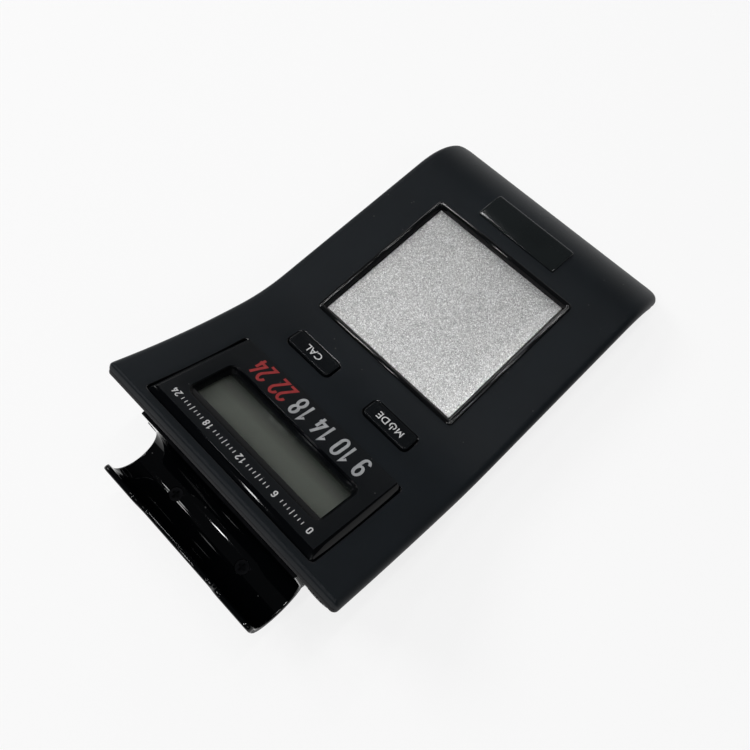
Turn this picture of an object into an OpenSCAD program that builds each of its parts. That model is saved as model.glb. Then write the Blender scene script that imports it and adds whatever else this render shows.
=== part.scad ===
// Counter-top tester: a waved deck over a narrow tub, with a test plate let into the deck,
// two keys, a raised display pad and a pen channel behind the rear rim.
// Lengths are in millimetres and angles in degrees. The working frame has y = 0 under the
// test plate's centre and z = 0 on the table; in_frame() then centres the part on its origin.

/* [Deck] */
// Width of the top cover
deck_w = 103.2; // [101:0.2:105]
// Height of the flat deck above the table
deck_z = 21.1; // [20.8:0.1:22]
// Flat deck in front of the plate's centre
flat_front = 40.8; // [40:0.1:42]
// Flat deck behind the plate's centre
flat_back = 31.4; // [31:0.1:34]
// Radius of the nose that rolls down at the front
nose_r = 32.4; // [31.4:0.1:33]
// Angle that the nose turns through
nose_a = 61; // [58:1:62]
// Radius of the first part of the rise
rise_r = 56.4; // [54:0.2:60]
// Radius of the long slope that carries the display
slope_r = 263.4; // [255:0.2:280]
// Slope at the rear rim
rim_a = 32.5; // [31.5:0.25:33]
// Thickness of the cover's skin
cover_t = 3; // [2.8:0.1:3.2]
// Rounding of the cover's side edges
edge_r = 2.8; // [1:0.1:2.8]
// Thickness of the tray under the cover
flange_t = 2.1; // [1.6:0.1:2.3]
// Radius of the two corners at the nose, seen square on
nose_corner_r = 11; // [6:0.5:12]
// Radius of the two corners at the rear rim, seen square on
rim_corner_r = 1; // [0.8:0.1:3]

/* [Housing] */
// Overhang of the deck beyond the tub's base, each side
side_overhang = 6; // [5.6:0.1:6.4]
// Draft of the tub's sides
draft_a = 6; // [5.5:0.1:6.4]
// Wall of the tub
tub_wall = 2.2; // [1.8:0.1:2.8]
// Floor of the tub
floor_t = 2.2; // [2:0.1:3]
// Distance from the rim's rear edge forward to the tub's rear wall
rear_inset = 1.4; // [1:0.1:2.4]
// Radius of the tub's rear corners
tub_corner_r = 3; // [2.6:0.1:3]
// Solid front of the tub behind the nose
front_web = 5; // [4:0.5:8]

/* [Feet] */
// Height of the feet under the base
foot_h = 2; // [1.5:0.1:3]
// Radius of a foot
foot_r = 5; // [4:0.25:6]
// Depth of the pocket that holds a foot
foot_pocket = 0.5; // [0.3:0.1:1]
// Distance of the feet from the middle, across
foot_x = 35; // [34:0.5:37]
// Place of the front feet
foot_front_y = -52; // [-54:0.5:-51.5]
// Distance of the rear feet in front of the rear wall
foot_rear_set = 21.4; // [17:0.5:25]

/* [Test plate] */
// Side of the square test plate
plate_w = 60; // [56:0.5:62]
// Thickness of the test plate
plate_t = 1.2; // [0.8:0.1:2]
// Depth of the plate's face below the surround's rim
plate_drop = 1.8; // [1.5:0.1:2.4]
// Height of the surround's rim above the deck
surround_proud = 0.7; // [0.4:0.1:1]
// Opening of the surround beyond the plate, each side, at the rim
surround_flare = 1.5; // [1:0.1:2]
// Width of the surround's rim
surround_rim = 1.1; // [0.8:0.1:1.6]
// Width of the ledge under the plate
plate_ledge = 3; // [2:0.5:5]
// Thickness of the ledge under the plate
ledge_t = 1.4; // [1:0.1:2]

/* [Keys] */
// Width of a key cap
key_w = 19.6; // [17:0.2:21]
// Length of a key cap up the slope
key_l = 7.2; // [6.5:0.1:8.5]
// Corner radius of a key cap
key_corner_r = 2; // [1:0.1:3]
// Height of a key cap above the deck
key_proud = 0.9; // [0.6:0.1:1.4]
// Gap round a key cap
key_gap = 0.3; // [0.25:0.05:0.5]
// Distance of a key's centre from the middle
key_x = 18.6; // [17:0.2:20]
// Distance of the keys' centre behind the start of the rise
key_set = 15.5; // [14:0.1:16]
// Travel of a key
key_travel = 0.8; // [0.4:0.1:1]
// Flange that keeps a key under the cover, each side
key_flange = 1; // [0.6:0.1:1.2]
// Thickness of the key's flange
key_flange_t = 1; // [0.8:0.1:1.4]
// Length of the key's stem below its flange
key_stem_h = 1.6; // [1.2:0.1:2.4]
// Radius of the key's stem
key_stem_r = 2; // [1.6:0.1:2.4]

/* [Display] */
// Width of the display pad at its foot
pad_w = 74.4; // [72:0.2:76]
// Length of the display pad at its foot, up the slope
pad_l = 41; // [40:0.2:42]
// Distance from the rim forward to the pad's centre
pad_set = 20.8; // [20.4:0.1:21.2]
// Height of the pad above the deck
pad_h = 2.2; // [1.6:0.1:2.8]
// Width of the pad's bevels at its sides and rear
pad_bevel = 2.1; // [1:0.1:2.4]
// Width of the pad's bevel at its front
pad_front_bevel = 0.5; // [0.3:0.1:2]
// Depth of the recess that seats the pad
pad_seat = 1.3; // [1:0.1:1.6]
// Width of the window's upper opening
window_w = 58.8; // [56:0.2:62]
// Front edge of the window from the pad's centre
window_front = 8.1; // [7.5:0.1:9]
// Rear edge of the window from the pad's centre
window_rear = 10.9; // [10:0.1:12]
// Corner radius of the window
window_corner_r = 2.6; // [1.5:0.1:4]
// Corner radius of the pad
pad_corner_r = 1; // [0.6:0.1:1.6]
// Depth of the window's first step below the pad's top
window_step = 1.6; // [1:0.1:2.2]
// Width of the step's ledge at the rear
ledge_rear = 2.6; // [1.5:0.1:3.5]
// Width of the step's ledge at the ends
ledge_end = 0.7; // [0.5:0.1:1.2]
// Width of the step's ledge at the front
ledge_front = 0.4; // [0.3:0.1:0.8]
// Thickness of the clear window
lens_t = 0.8; // [0.6:0.1:1.2]

/* [Display module] */
// Width of the module's board
lcd_board_w = 81; // [80.5:0.5:84]
// Length of the module's board
lcd_board_l = 35; // [33:0.5:36]
// Thickness of the boards
board_t = 1.6; // [1:0.1:2]
// Width of the module's metal frame
lcd_frame_w = 69; // [66:0.5:69]
// Length of the module's metal frame
lcd_frame_l = 26; // [24:0.5:27]
// Thickness of the module's metal frame, glass and all
lcd_frame_t = 4.6; // [4:0.1:5.5]
// Wall of the metal frame
lcd_frame_wall = 1; // [0.6:0.1:1.4]
// Thickness of the liquid crystal glass
glass_t = 2; // [1.4:0.1:2.6]
// Gap between the frame's lip and the clear window
lcd_gap = 0.2; // [0.1:0.05:0.4]

/* [Pen channel] */
// Distance from the tub's side to the end of the pen channel
cradle_side = 10; // [9:0.2:12]
// Radius of the channel
channel_r = 8.9; // [8:0.1:10]
// Height of the channel's axis above the table
channel_z = 22.9; // [22:0.1:25]
// Wall of the channel moulding
cradle_wall = 2; // [1.6:0.1:2.6]
// Height of the end tabs above the channel's axis
tab_h = 5.2; // [4:0.1:7]
// Height of the lip between the tabs, above the channel's axis
lip_h = 1.2; // [0.4:0.1:2]
// Length of an end tab
tab_w = 14; // [10:0.5:18]
// Radius of a tab's outer corner
tab_corner_r = 2.5; // [1:0.25:3]
// Length of the curve that joins a tab to the lip
step_l = 7; // [4.5:0.5:10]
// Length of the tail that carries the channel, behind the rear wall
tail_l = 13.6; // [12:0.2:14]
// Thickness of the tail's skin
tail_skin = 2; // [1.6:0.1:2.4]
// Thickness of the tail's ribs
rib_t = 1.6; // [1.2:0.1:2]
// Distance of the channel's screws from the middle
cradle_screw_x = 16.8; // [14:0.2:20]
// Gap between the channel moulding and what it is fixed to
cradle_gap = 0.1; // [0.05:0.05:0.2]

/* [Name label] */
// Width of the domed label
label_w = 36.8; // [30:0.2:40]
// Length of the domed label, over the flat and round the nose
label_l = 13; // [11:0.2:14]
// Length of the label that lies on the flat
label_flat = 2.8; // [2:0.1:4]
// Thickness of the domed label
label_t = 0.9; // [0.5:0.1:1.2]

/* [Boards and power] */
// Width of the main board
main_w = 76; // [66:1:78]
// Front edge of the main board
main_front = -32; // [-36:0.5:-28]
// Rear edge of the main board
main_rear = 34; // [28:0.5:36]
// Height of the main board's underside
main_z = 8.6; // [8:0.1:9.4]
// Width of the battery, terminals aside
battery_w = 46.4; // [44:0.2:47]
// Depth of the battery, front to back
battery_l = 26.2; // [25:0.1:26.5]
// Height of the battery
battery_h = 17.4; // [16.5:0.1:17.5]
// Room at the end of the battery for its snap connector
snap_room = 8.4; // [8:0.1:9.5]
// Gap round the battery
battery_gap = 0.3; // [0.2:0.05:0.5]
// Wall of the battery box
box_wall = 1.4; // [1.2:0.1:1.8]
// Thickness of the battery door
door_t = 1.8; // [1.5:0.1:2]
// Gap round the battery door
door_gap = 0.3; // [0.25:0.05:0.5]
// Ledge round the battery door
door_ledge = 0.8; // [0.6:0.1:1.2]
// Distance of the sockets from the tub's side
socket_inset = 5.4; // [5.2:0.1:5.8]
// Height of the two sockets
socket_z = 14; // [13:0.25:16]
// Radius of the probe socket's bore
probe_bore_r = 1.8; // [1.8:0.05:1.85]
// Depth of the probe socket's bore
probe_bore_l = 15; // [14:0.5:16]
// Radius of the power socket's bore
power_bore_r = 2.8; // [2.75:0.05:2.9]
// Radius of the power socket's centre pin
power_pin_r = 1; // [0.9:0.05:1.1]

/* [Screws] */
// Radius of a screw's shank
screw_r = 1.4; // [1.2:0.05:1.5]
// Radius of a screw's head
screw_head_r = 2.7; // [2.4:0.1:2.9]
// Height of a screw's head
screw_head_h = 1.8; // [1.4:0.1:2.2]
// Gap round a screw
screw_gap = 0.1; // [0.05:0.05:0.2]
// Radius of a boss
boss_r = 3.1; // [2.8:0.1:3.3]
// Radius of the display module's screws
lcd_screw_r = 1; // [0.8:0.05:1.1]
// Radius of the head of a display module's screw
lcd_head_r = 2; // [1.8:0.1:2.1]
// Radius of the display module's bosses
lcd_boss_r = 2.6; // [2.2:0.1:2.6]
// Radius of the head of a channel screw
cradle_head_r = 2.4; // [2.2:0.1:2.6]
// Height of the head of a channel screw
cradle_head_h = 1.2; // [0.9:0.1:1.3]
// Length of a housing screw below its head
post_screw_l = 10; // [8:0.5:10.5]
// Distance of the housing screws from the middle
post_x = 37.4; // [36.6:0.1:37.8]
// Place of the front housing screws
post_front_y = -42; // [-44:0.5:-40]
// Distance of the rear housing screws in front of the rear wall
post_rear_set = 41.4; // [40.4:0.5:43]
// Height where the housing's posts meet the cover's bosses
post_z = 11; // [10:0.25:12.5]

/* [Hidden] */
$fn = 96;
eps = 0.01;
corner_break = 0.994;

// the deck's curve, at a depth below its surface
base_z = foot_h;
base_w = deck_w - 2 * side_overhang;
cradle_w = base_w - 2 * cradle_side;
socket_x = base_w / 2 - socket_inset;
skin = cover_t + flange_t;
// the first part of the rise ends at the angle of the 44-117-125 triangle, which keeps centres short
rise_sin = 0.352;
rise_cos = 0.936;
rise_a = asin(rise_sin);
rise_c = [flat_back, deck_z + rise_r];
slope_c = rise_c + (slope_r - rise_r) * [-rise_sin, rise_cos];
rise_end = flat_back + rise_r * rise_sin;
rim_y = slope_c[0] + slope_r * sin(rim_a);
rim_z = slope_c[1] - slope_r * cos(rim_a);
pad_y = rim_y - pad_set;
key_y = flat_back + key_set;
nose_y = -flat_front - nose_r * sin(nose_a);
rear_edge_y = rim_y + skin * sin(rim_a);
rear_wall_y = rear_edge_y - rear_inset;
foot_rear_y = rear_wall_y - foot_rear_set;
post_rear_y = rear_wall_y - post_rear_set;
function lean(y) = y < rise_end ? asin((y - rise_c[0]) / rise_r) : asin((y - slope_c[0]) / slope_r);
function deck_at(y) = y < rise_end ? rise_c[1] - rise_r * cos(lean(y)) : slope_c[1] - slope_r * cos(lean(y));

// the pen channel
channel_y = rear_wall_y + cradle_wall + channel_r;
lip_y = channel_y + channel_r + cradle_wall;
mid_y = (nose_y + lip_y) / 2;
tail_r = channel_r + cradle_wall;
tail_reach = norm([channel_y - rear_wall_y, channel_z - base_z]);
tail_a = atan2(channel_z - base_z, channel_y - rear_wall_y) - asin(tail_r / tail_reach);
tail_end_y = rear_wall_y + tail_l;
tail_top_z = channel_z - channel_r;
tail_w = cradle_w - 2 * cradle_wall - 0.6;
cradle_seat_z = channel_z - channel_r - cradle_head_h - 0.1;
cradle_boss_z = cradle_seat_z - 7;
tub_front_y = nose_y + skin;

// heights above the local deck surface, in the keys' and the pad's own frames
key_top_d = cover_t + 0.1;
stem_end_d = key_top_d + key_flange_t + key_stem_h;
plunger_r = 1.7;
plunger_h = 1.5;
switch_h = 3.5;
switch_w = 6;
switch_top_d = stem_end_d + plunger_h;
plunger_in = 1.2;
key_board_d = switch_top_d + switch_h;
key_board_w = 73;
key_board_l = 13;
key_post_x = 33;
lens_d = pad_seat;
lcd_top_d = lens_d + lens_t + lcd_gap;
lcd_lip = 0.4;
lcd_board_d = lcd_top_d + lcd_frame_t;
lcd_post_inset = [3, 2.7];
lcd_post_x = lcd_board_w / 2 - lcd_post_inset[0];
lcd_post_y = lcd_board_l / 2 - lcd_post_inset[1];
lcd_screw_bite = 3;
screw_bite = 4;
lcd_head_h = 1.3;
pad_gap = 0.2;
seat_gap = 0.2;
glass_w = lcd_frame_w - 2 * lcd_frame_wall - 2 * seat_gap;
glass_l = lcd_frame_l - 2 * lcd_frame_wall - 2 * seat_gap;
glass_d = lcd_top_d + lcd_lip;
module_seat_w = lcd_frame_w + 0.8;
module_seat_l = lcd_frame_l + 0.8;

// the test plate and its surround
plate_z = deck_z + surround_proud - plate_drop;
plate_gap = 0.2;
well_w = plate_w + 2 * plate_gap;
mouth_w = plate_w + 2 * surround_flare;
surround_w = mouth_w + 2 * surround_rim;
sleeve_w = mouth_w + surround_rim;
surround_gap = 0.2;

// the battery, its box and its door
box_w = battery_w + snap_room + 2 * battery_gap;
box_l = battery_l + 2 * battery_gap;
box_rear_y = rear_wall_y - tub_wall;
box_y = box_rear_y - box_l / 2;
box_z = base_z + door_t + 0.15;
battery_z = box_z + 0.15;
roof_z = battery_z + battery_h + battery_gap;
roof_t = 1;
battery_x = -box_w / 2 + battery_gap + battery_w / 2;
battery_end_x = battery_x + battery_w / 2;
door_w = box_w + 2 * door_ledge;
door_l = box_l + 2 * door_ledge;
door_y = box_y;
hinge_r = door_t / 2;
hinge_y = door_y - door_l / 2 + door_gap + hinge_r;
hinge_z = base_z + hinge_r;
hinge_pin_r = 0.5;
hinge_pin_l = 1.2;
terminal_h = 2.1;
terminal_y = 6.35;
snap_w = snap_room - terminal_h + 0.1;

// sockets and screws
probe_barrel_r = probe_bore_r + 1.1;
power_barrel_r = power_bore_r + 0.8;
socket_body_l = 14;
nut_r = probe_barrel_r + 0.9;
nut_t = 1.5;
main_post_x = main_w / 2 - 5;
main_post_inset = 5;
main_top_z = main_z + board_t;
pillar_r = screw_head_r + 1.5;
post_head_z = base_z + 4;
post_tip_z = post_head_z + post_screw_l;
contact_w = 5;
contact_t = 0.5;

module in_frame() {
    translate([0, -mid_y, 0]) children();
}

// a profile drawn in (y, z) and run across the part
module across(w) {
    translate([-w / 2, 0, 0]) rotate([90, 0, 90]) linear_extrude(w) children();
}

// a section drawn in (depth, x) and run along the whole deck, from the nose to the rear rim
module along_deck() {
    along_nose(0, nose_a) children();
    along_flat(-flat_front, flat_front + flat_back) children();
    intersection() {
        along_hollow(rise_c, rise_r, 0, rise_a + 2) children();
        across(2 * deck_w) polygon([rise_c, rise_c + 125 * [0, -1], rise_c + 125 * [rise_sin, -1],
            rise_c + 125 * [rise_sin, -rise_cos]]);
    }
    along_hollow(slope_c, slope_r, rise_a, rim_a) children();
}

module along_flat(from_y, length) {
    translate([0, from_y + length, deck_z]) rotate([90, 90, 0]) linear_extrude(length) children();
}

module along_nose(from_a, to_a) {
    translate([0, -flat_front, deck_z - nose_r]) rotate([90, 0, 90]) rotate(90 + from_a)
        rotate_extrude(angle = to_a - from_a, $fn = 240) translate([nose_r, 0]) mirror([1, 0]) children();
}

module along_hollow(centre, r, from_a, to_a) {
    translate([0, centre[0], centre[1]]) rotate([90, 0, 90]) rotate(from_a - 90)
        rotate_extrude(angle = to_a - from_a, $fn = 360) translate([r, 0]) children();
}

// a skin's section between two depths, with its two upper edges rounded
module skin_section(w, top, bottom, r) {
    difference() {
        translate([top, -w / 2]) square([bottom - top, w]);
        for (side = [-1, 1]) translate([top, side * w / 2]) mirror([0, side > 0 ? 1 : 0]) difference() {
            translate([-1, -1]) square([r + 1, r + 1]);
            translate([r, r]) circle(r);
        }
    }
}

// everything between two heights under the deck surface at a depth, drawn in (y, z)
module under_deck(depth, front, rear, bottom) {
    corner_y = flat_back + (rise_r + depth) * rise_sin;
    top = rim_z + 20;
    intersection() {
        translate([front, bottom]) square([rear - front, top - bottom]);
        union() {
            intersection() {
                translate([-flat_front, deck_z - nose_r]) circle(nose_r - depth, $fn = 240);
                translate([nose_y - 1, bottom - 1]) square([-flat_front - nose_y + 1, deck_z - bottom + 1]);
            }
            translate([-flat_front, bottom - 1]) square([flat_front + flat_back, deck_z - depth - bottom + 1]);
            difference() {
                translate([flat_back, bottom - 1]) square([corner_y - flat_back, rim_z - bottom + 1]);
                translate(rise_c) circle(rise_r + depth, $fn = 360);
            }
            difference() {
                translate([corner_y, bottom - 1]) square([rear + 1 - corner_y, rim_z - bottom + 1]);
                translate(slope_c) circle(slope_r + depth, $fn = 720);
            }
        }
    }
}

// the skin between two depths, drawn in (y, z), with both ends square to the deck
module deck_band(top, bottom) {
    difference() {
        under_deck(top, nose_y - 5, rear_edge_y + 5, base_z - 8);
        under_deck(bottom, nose_y - 6, rear_edge_y + 6, base_z - 9);
        translate([rim_y, rim_z]) rotate(rim_a) translate([0, -30]) square([30, 60]);
        translate([-flat_front, deck_z - nose_r]) rotate(90 + nose_a) square([2 * nose_r, 2 * nose_r]);
    }
}

// children drawn above the deck's surface at a place up the slope, square to it
module on_deck(y) {
    translate([0, y, deck_at(y)]) rotate([lean(y), 0, 0]) children();
}

module round_rect(w, l, r) {
    union() {
        square([w - 2 * r, l], center = true);
        square([w, l - 2 * r], center = true);
        for (sx = [-1, 1], sy = [-1, 1]) translate([sx * (w / 2 - r), sy * (l / 2 - r)]) circle(r);
    }
}

module block(w, l, bottom, top) {
    translate([-w / 2, -l / 2, bottom]) cube([w, l, top - bottom]);
}

module round_block(w, l, r, bottom, top) {
    translate([0, 0, bottom]) linear_extrude(top - bottom) round_rect(w, l, r);
}

module at_corners(x, ys) {
    for (sx = [-1, 1], y = ys) translate([sx * x, y, 0]) children();
}

module post(r, bottom, top) {
    translate([0, 0, bottom]) cylinder(r = r, h = top - bottom);
}

// a screw with its head's seat at z = 0 and its shank pointing down
module screw(r, head_r, head_h, shank) {
    difference() {
        union() {
            post(head_r, 0, head_h);
            post(r, -shank, 0);
        }
        for (turn = [0, 90]) rotate(turn) block(head_r * 1.2, 0.7, head_h / 2, head_h + 1);
    }
}

// what the two rounded corners at an end of the deck take off a square end; the rounds start
// with a break of a few degrees
module end_corners(r) {
    at = corner_break * r;
    for (side = [-1, 1]) translate([side * (deck_w / 2 - at), 0, 0]) difference() {
        translate([side > 0 ? 0 : -r - 1, 0, -skin - 2]) cube([r + 1, r + 3, skin + 4]);
        post(r, -skin - 3, 3);
    }
}

module nose_corners() {
    a = nose_a - nose_corner_r / nose_r * 180 / PI;
    translate([0, -flat_front - nose_r * sin(a), deck_z - nose_r * (1 - cos(a))]) rotate([a, 0, 0])
        mirror([0, 1, 0]) end_corners(nose_corner_r);
}

module rim_corners() {
    translate([0, rim_y, rim_z]) rotate([rim_a, 0, 0]) translate([0, -corner_break * rim_corner_r, 0])
        end_corners(rim_corner_r);
}

// the room between the tub's walls, drawn solid: drafted sides, a flat floor and rounded rear corners
module tub_room(depth, inset, front, bottom) {
    half = base_w / 2 - inset;
    rise = rim_z - base_z;
    rear = rear_wall_y - inset;
    corner = tub_corner_r - inset;
    at = corner_break * corner;
    difference() {
        intersection() {
            across(deck_w) under_deck(depth, front, rear, bottom);
            translate([0, rear, 0]) rotate([90, 0, 0]) linear_extrude(rear - front)
                polygon([[-half, base_z], [half, base_z], [half + rise * tan(draft_a), rim_z],
                    [-half - rise * tan(draft_a), rim_z]]);
        }
        for (side = [-1, 1]) translate([side * half, rear, base_z]) rotate([0, side * draft_a, 0])
            mirror([side > 0 ? 1 : 0, 0, 0]) difference() {
                translate([-1, -at, -2]) cube([at + 1, at + 1, rim_z]);
                translate([at, -at, -3]) cylinder(r = corner, h = rim_z + 2);
            }
    }
}

// the wedge under the pen channel, drawn in (y, z), between the rear wall and the channel's round
module tail_wedge(back, gap) {
    difference() {
        polygon([[rear_wall_y - back, base_z], [rear_wall_y, base_z],
            [tail_end_y, base_z + tail_l * tan(tail_a)], [tail_end_y, tail_top_z],
            [rear_wall_y - back, tail_top_z]]);
        translate([channel_y, channel_z]) circle(tail_r + gap);
    }
}

module cover_posts() {
    intersection() {
        across(deck_w) under_deck(cover_t / 2, nose_y, rear_wall_y, base_z);
        at_corners(post_x, [post_front_y, post_rear_y]) post(boss_r, post_z, rim_z);
    }
    on_deck(key_y) at_corners(key_post_x, [0]) post(boss_r, -key_board_d, -cover_t / 2);
    on_deck(pad_y) at_corners(lcd_post_x, [-lcd_post_y, lcd_post_y])
        post(lcd_boss_r, -lcd_board_d, -cover_t / 2);
}

module cover_openings() {
    block(sleeve_w + 2 * surround_gap, sleeve_w + 2 * surround_gap, deck_z - cover_t - 1, deck_z + 1);
    on_deck(key_y) for (side = [-1, 1]) translate([side * key_x, 0, 0])
        round_block(key_w + 2 * key_gap, key_l + 2 * key_gap, key_corner_r + key_gap, -cover_t - 1, 2);
    on_deck(pad_y) {
        round_block(pad_w + 2 * pad_gap, pad_l + 2 * pad_gap, pad_corner_r + pad_gap, -pad_seat, 4);
        block(module_seat_w, module_seat_l, -cover_t - 2, 0);
    }
    at_corners(post_x, [post_front_y, post_rear_y]) post(screw_r + screw_gap, post_z - 1, post_tip_z + 0.5);
    on_deck(key_y) at_corners(key_post_x, [0]) post(screw_r + screw_gap, -key_board_d - 1, -cover_t - 1);
    on_deck(pad_y) at_corners(lcd_post_x, [-lcd_post_y, lcd_post_y])
        post(lcd_screw_r + screw_gap, -lcd_board_d - 1, -cover_t - 0.2);
}

module top_cover() {
    color([0.15, 0.15, 0.16]) in_frame() difference() {
        union() {
            along_deck() skin_section(deck_w, 0, cover_t, edge_r);
            cover_posts();
        }
        nose_corners();
        rim_corners();
        cover_openings();
    }
}

// the curved tray under the cover, open over the tub's inside
module under_tray() {
    color([0.13, 0.13, 0.14]) in_frame() difference() {
        across(deck_w) deck_band(cover_t, skin);
        nose_corners();
        rim_corners();
        tub_room(cover_t - 0.5, tub_wall, tub_front_y + front_web, base_z + floor_t);
    }
}

// the tub, up to the tray
module housing_shell() {
    difference() {
        tub_room(skin, 0, tub_front_y, base_z);
        tub_room(cover_t - 0.5, tub_wall, tub_front_y + front_web, base_z + floor_t);
    }
}

module housing_posts() {
    at_corners(post_x, [post_front_y, post_rear_y]) post(pillar_r, base_z, post_z);
    at_corners(main_post_x, [main_front + main_post_inset, main_rear - main_post_inset])
        post(boss_r, base_z, main_z);
    translate([0, box_y, 0]) block(box_w + 2 * box_wall, box_l + 2 * box_wall, base_z, roof_z + roof_t);
}

module tail() {
    intersection() {
        across(tail_w) tail_wedge(1, cradle_gap);
        across(tail_w) translate([rear_wall_y, base_z]) rotate(tail_a)
            translate([-5, 0]) square([2 * tail_l, tail_skin]);
    }
    for (x = [-tail_w / 2 + rib_t / 2, -cradle_screw_x, 0, cradle_screw_x, tail_w / 2 - rib_t / 2])
        translate([x, 0, 0]) across(rib_t) tail_wedge(1, cradle_gap);
    difference() {
        at_corners(cradle_screw_x, [channel_y]) post(boss_r, cradle_boss_z, tail_top_z);
        across(tail_w) translate([channel_y, channel_z]) circle(tail_r + cradle_gap);
    }
}

module lower_housing() {
    color([0.12, 0.12, 0.13]) in_frame() difference() {
        union() {
            housing_shell();
            housing_posts();
            tail();
        }
        // battery room and the rebate of its door
        translate([0, box_y, 0]) block(box_w, box_l, base_z - 1, roof_z);
        translate([0, door_y, 0]) block(door_w, door_l, base_z - 1, box_z);
        translate([-door_w / 2 - hinge_pin_l, hinge_y, hinge_z]) rotate([0, 90, 0])
            cylinder(r = hinge_pin_r + 0.1, h = door_w + 2 * hinge_pin_l);
        // feet and screws
        at_corners(foot_x, [foot_front_y, foot_rear_y])
            post(foot_r + 0.3, base_z - 1, base_z + foot_pocket);
        at_corners(post_x, [post_front_y, post_rear_y]) {
            post(screw_head_r + 0.3, base_z - 1, post_head_z);
            post(screw_r + screw_gap, base_z, post_z + 1);
        }
        at_corners(main_post_x, [main_front + main_post_inset, main_rear - main_post_inset])
            post(screw_r + screw_gap, base_z + 1, main_z + 1);
        at_corners(cradle_screw_x, [channel_y]) post(screw_r + screw_gap, base_z - 1, channel_z);
        // sockets in the rear wall
        at_socket(socket_x) post(probe_barrel_r + 0.15, -1, tub_wall + 1);
        at_socket(-socket_x) post(power_barrel_r + 0.15, -1, tub_wall + 1);
    }
}

// children drawn from the rear wall's outer face inward, seen from behind
module at_socket(x) {
    translate([x, rear_wall_y, socket_z]) rotate([90, 0, 0]) children();
}

// the lip's outline, drawn in (x, z) above the channel's axis: two tabs with a lower middle
module lip_outline() {
    translate([-cradle_w / 2, -eps]) square([cradle_w, lip_h + eps]);
    for (side = [-1, 1]) mirror([side < 0 ? 1 : 0, 0]) tab_outline(cradle_w / 2 - tab_w);
}

// one tab from its inner end at x to the channel's end, with the curve down to the lip
module tab_outline(x) {
    rise = tab_h - lip_h;
    turn_r = (step_l * step_l + rise * rise) / (4 * rise);
    union() {
        translate([x, 0]) square([tab_w - tab_corner_r, tab_h]);
        translate([x, 0]) square([tab_w, tab_h - tab_corner_r]);
        translate([x + tab_w - tab_corner_r, tab_h - tab_corner_r]) circle(tab_corner_r);
        intersection() {
            translate([x - step_l / 2, 0]) square([step_l / 2 + eps, tab_h]);
            translate([x, tab_h - turn_r]) circle(turn_r);
        }
        difference() {
            translate([x - step_l, 0]) square([step_l / 2 + eps, lip_h + rise / 2]);
            translate([x - step_l, lip_h + turn_r]) circle(turn_r);
        }
    }
}

module pen_cradle() {
    color([0.05, 0.05, 0.06]) in_frame() difference() {
        union() {
            across(cradle_w) difference() {
                union() {
                    intersection() {
                        translate([channel_y, channel_z]) circle(tail_r);
                        translate([rear_wall_y, base_z]) square([2 * tail_r, channel_z - base_z]);
                    }
                    under_deck(skin + 0.2, rear_wall_y, rear_wall_y + cradle_wall, channel_z);
                }
                translate([channel_y, channel_z]) circle(channel_r);
            }
            translate([0, lip_y, channel_z]) rotate([90, 0, 0]) linear_extrude(cradle_wall) lip_outline();
            for (side = [-1, 1]) translate([side * (cradle_w - cradle_wall) / 2, 0, 0])
                across(cradle_wall) tail_wedge(0, -0.5);
        }
        at_corners(cradle_screw_x, [channel_y]) {
            post(cradle_head_r + 0.2, cradle_seat_z, channel_z - 2);
            post(screw_r + screw_gap, base_z, channel_z - 2);
        }
    }
}

module cradle_screws() {
    color([0.2, 0.2, 0.21]) in_frame() at_corners(cradle_screw_x, [channel_y])
        translate([0, 0, cradle_seat_z]) screw(screw_r, cradle_head_r, cradle_head_h,
            cradle_seat_z - cradle_boss_z - 0.5);
}

// a trapezoid over the pad's foot, drawn upward from the deck
module pad_sides(w, in_a, in_b) {
    polygon([[-w / 2, 0], [w / 2, 0], [w / 2 - in_b, pad_h], [-w / 2 + in_a, pad_h]]);
}

module display_bezel() {
    color([0.1, 0.1, 0.11]) in_frame() on_deck(pad_y) difference() {
        union() {
            round_block(pad_w, pad_l, pad_corner_r, -pad_seat, eps);
            intersection() {
                translate([0, pad_l / 2, 0]) rotate([90, 0, 0]) linear_extrude(pad_l)
                    pad_sides(pad_w, pad_bevel, pad_bevel);
                across(pad_w) pad_sides(pad_l, pad_front_bevel, pad_bevel);
                round_block(pad_w, pad_l, pad_corner_r, 0, pad_h);
            }
        }
        translate([0, (window_rear - window_front) / 2, 0])
            round_block(window_w, window_rear + window_front, window_corner_r, pad_h - window_step, pad_h + 1);
        translate([0, (window_rear - ledge_rear - window_front + ledge_front) / 2, 0])
            round_block(window_w - 2 * ledge_end, window_rear - ledge_rear + window_front - ledge_front,
                window_corner_r - ledge_end, -pad_seat - 1, pad_h);
    }
}

module display_window() {
    color([0.55, 0.58, 0.56, 0.4]) in_frame() on_deck(pad_y)
        block(module_seat_w - 2 * seat_gap, module_seat_l - 2 * seat_gap, -lens_d - lens_t, -lens_d);
}

module lcd_glass() {
    color([0.45, 0.47, 0.4]) in_frame() on_deck(pad_y) block(glass_w, glass_l, -glass_d - glass_t, -glass_d);
}

module lcd_frame() {
    color([0.3, 0.3, 0.3]) in_frame() on_deck(pad_y) difference() {
        block(lcd_frame_w, lcd_frame_l, -lcd_board_d, -lcd_top_d);
        block(lcd_frame_w - 2 * lcd_frame_wall, lcd_frame_l - 2 * lcd_frame_wall, -lcd_board_d - 1, -glass_d);
        block(window_w + 2.4, glass_l - 2, -lcd_board_d, -lcd_top_d + 1);
    }
}

module lcd_board() {
    color([0.1, 0.35, 0.2]) in_frame() on_deck(pad_y) difference() {
        union() {
            block(lcd_board_w, lcd_board_l, -lcd_board_d - board_t, -lcd_board_d);
            block(glass_w, glass_l, -lcd_board_d - eps, -glass_d - glass_t);
        }
        at_corners(lcd_post_x, [-lcd_post_y, lcd_post_y])
            post(lcd_screw_r + screw_gap, -lcd_board_d - board_t - 1, -lcd_board_d + 1);
    }
}

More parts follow.
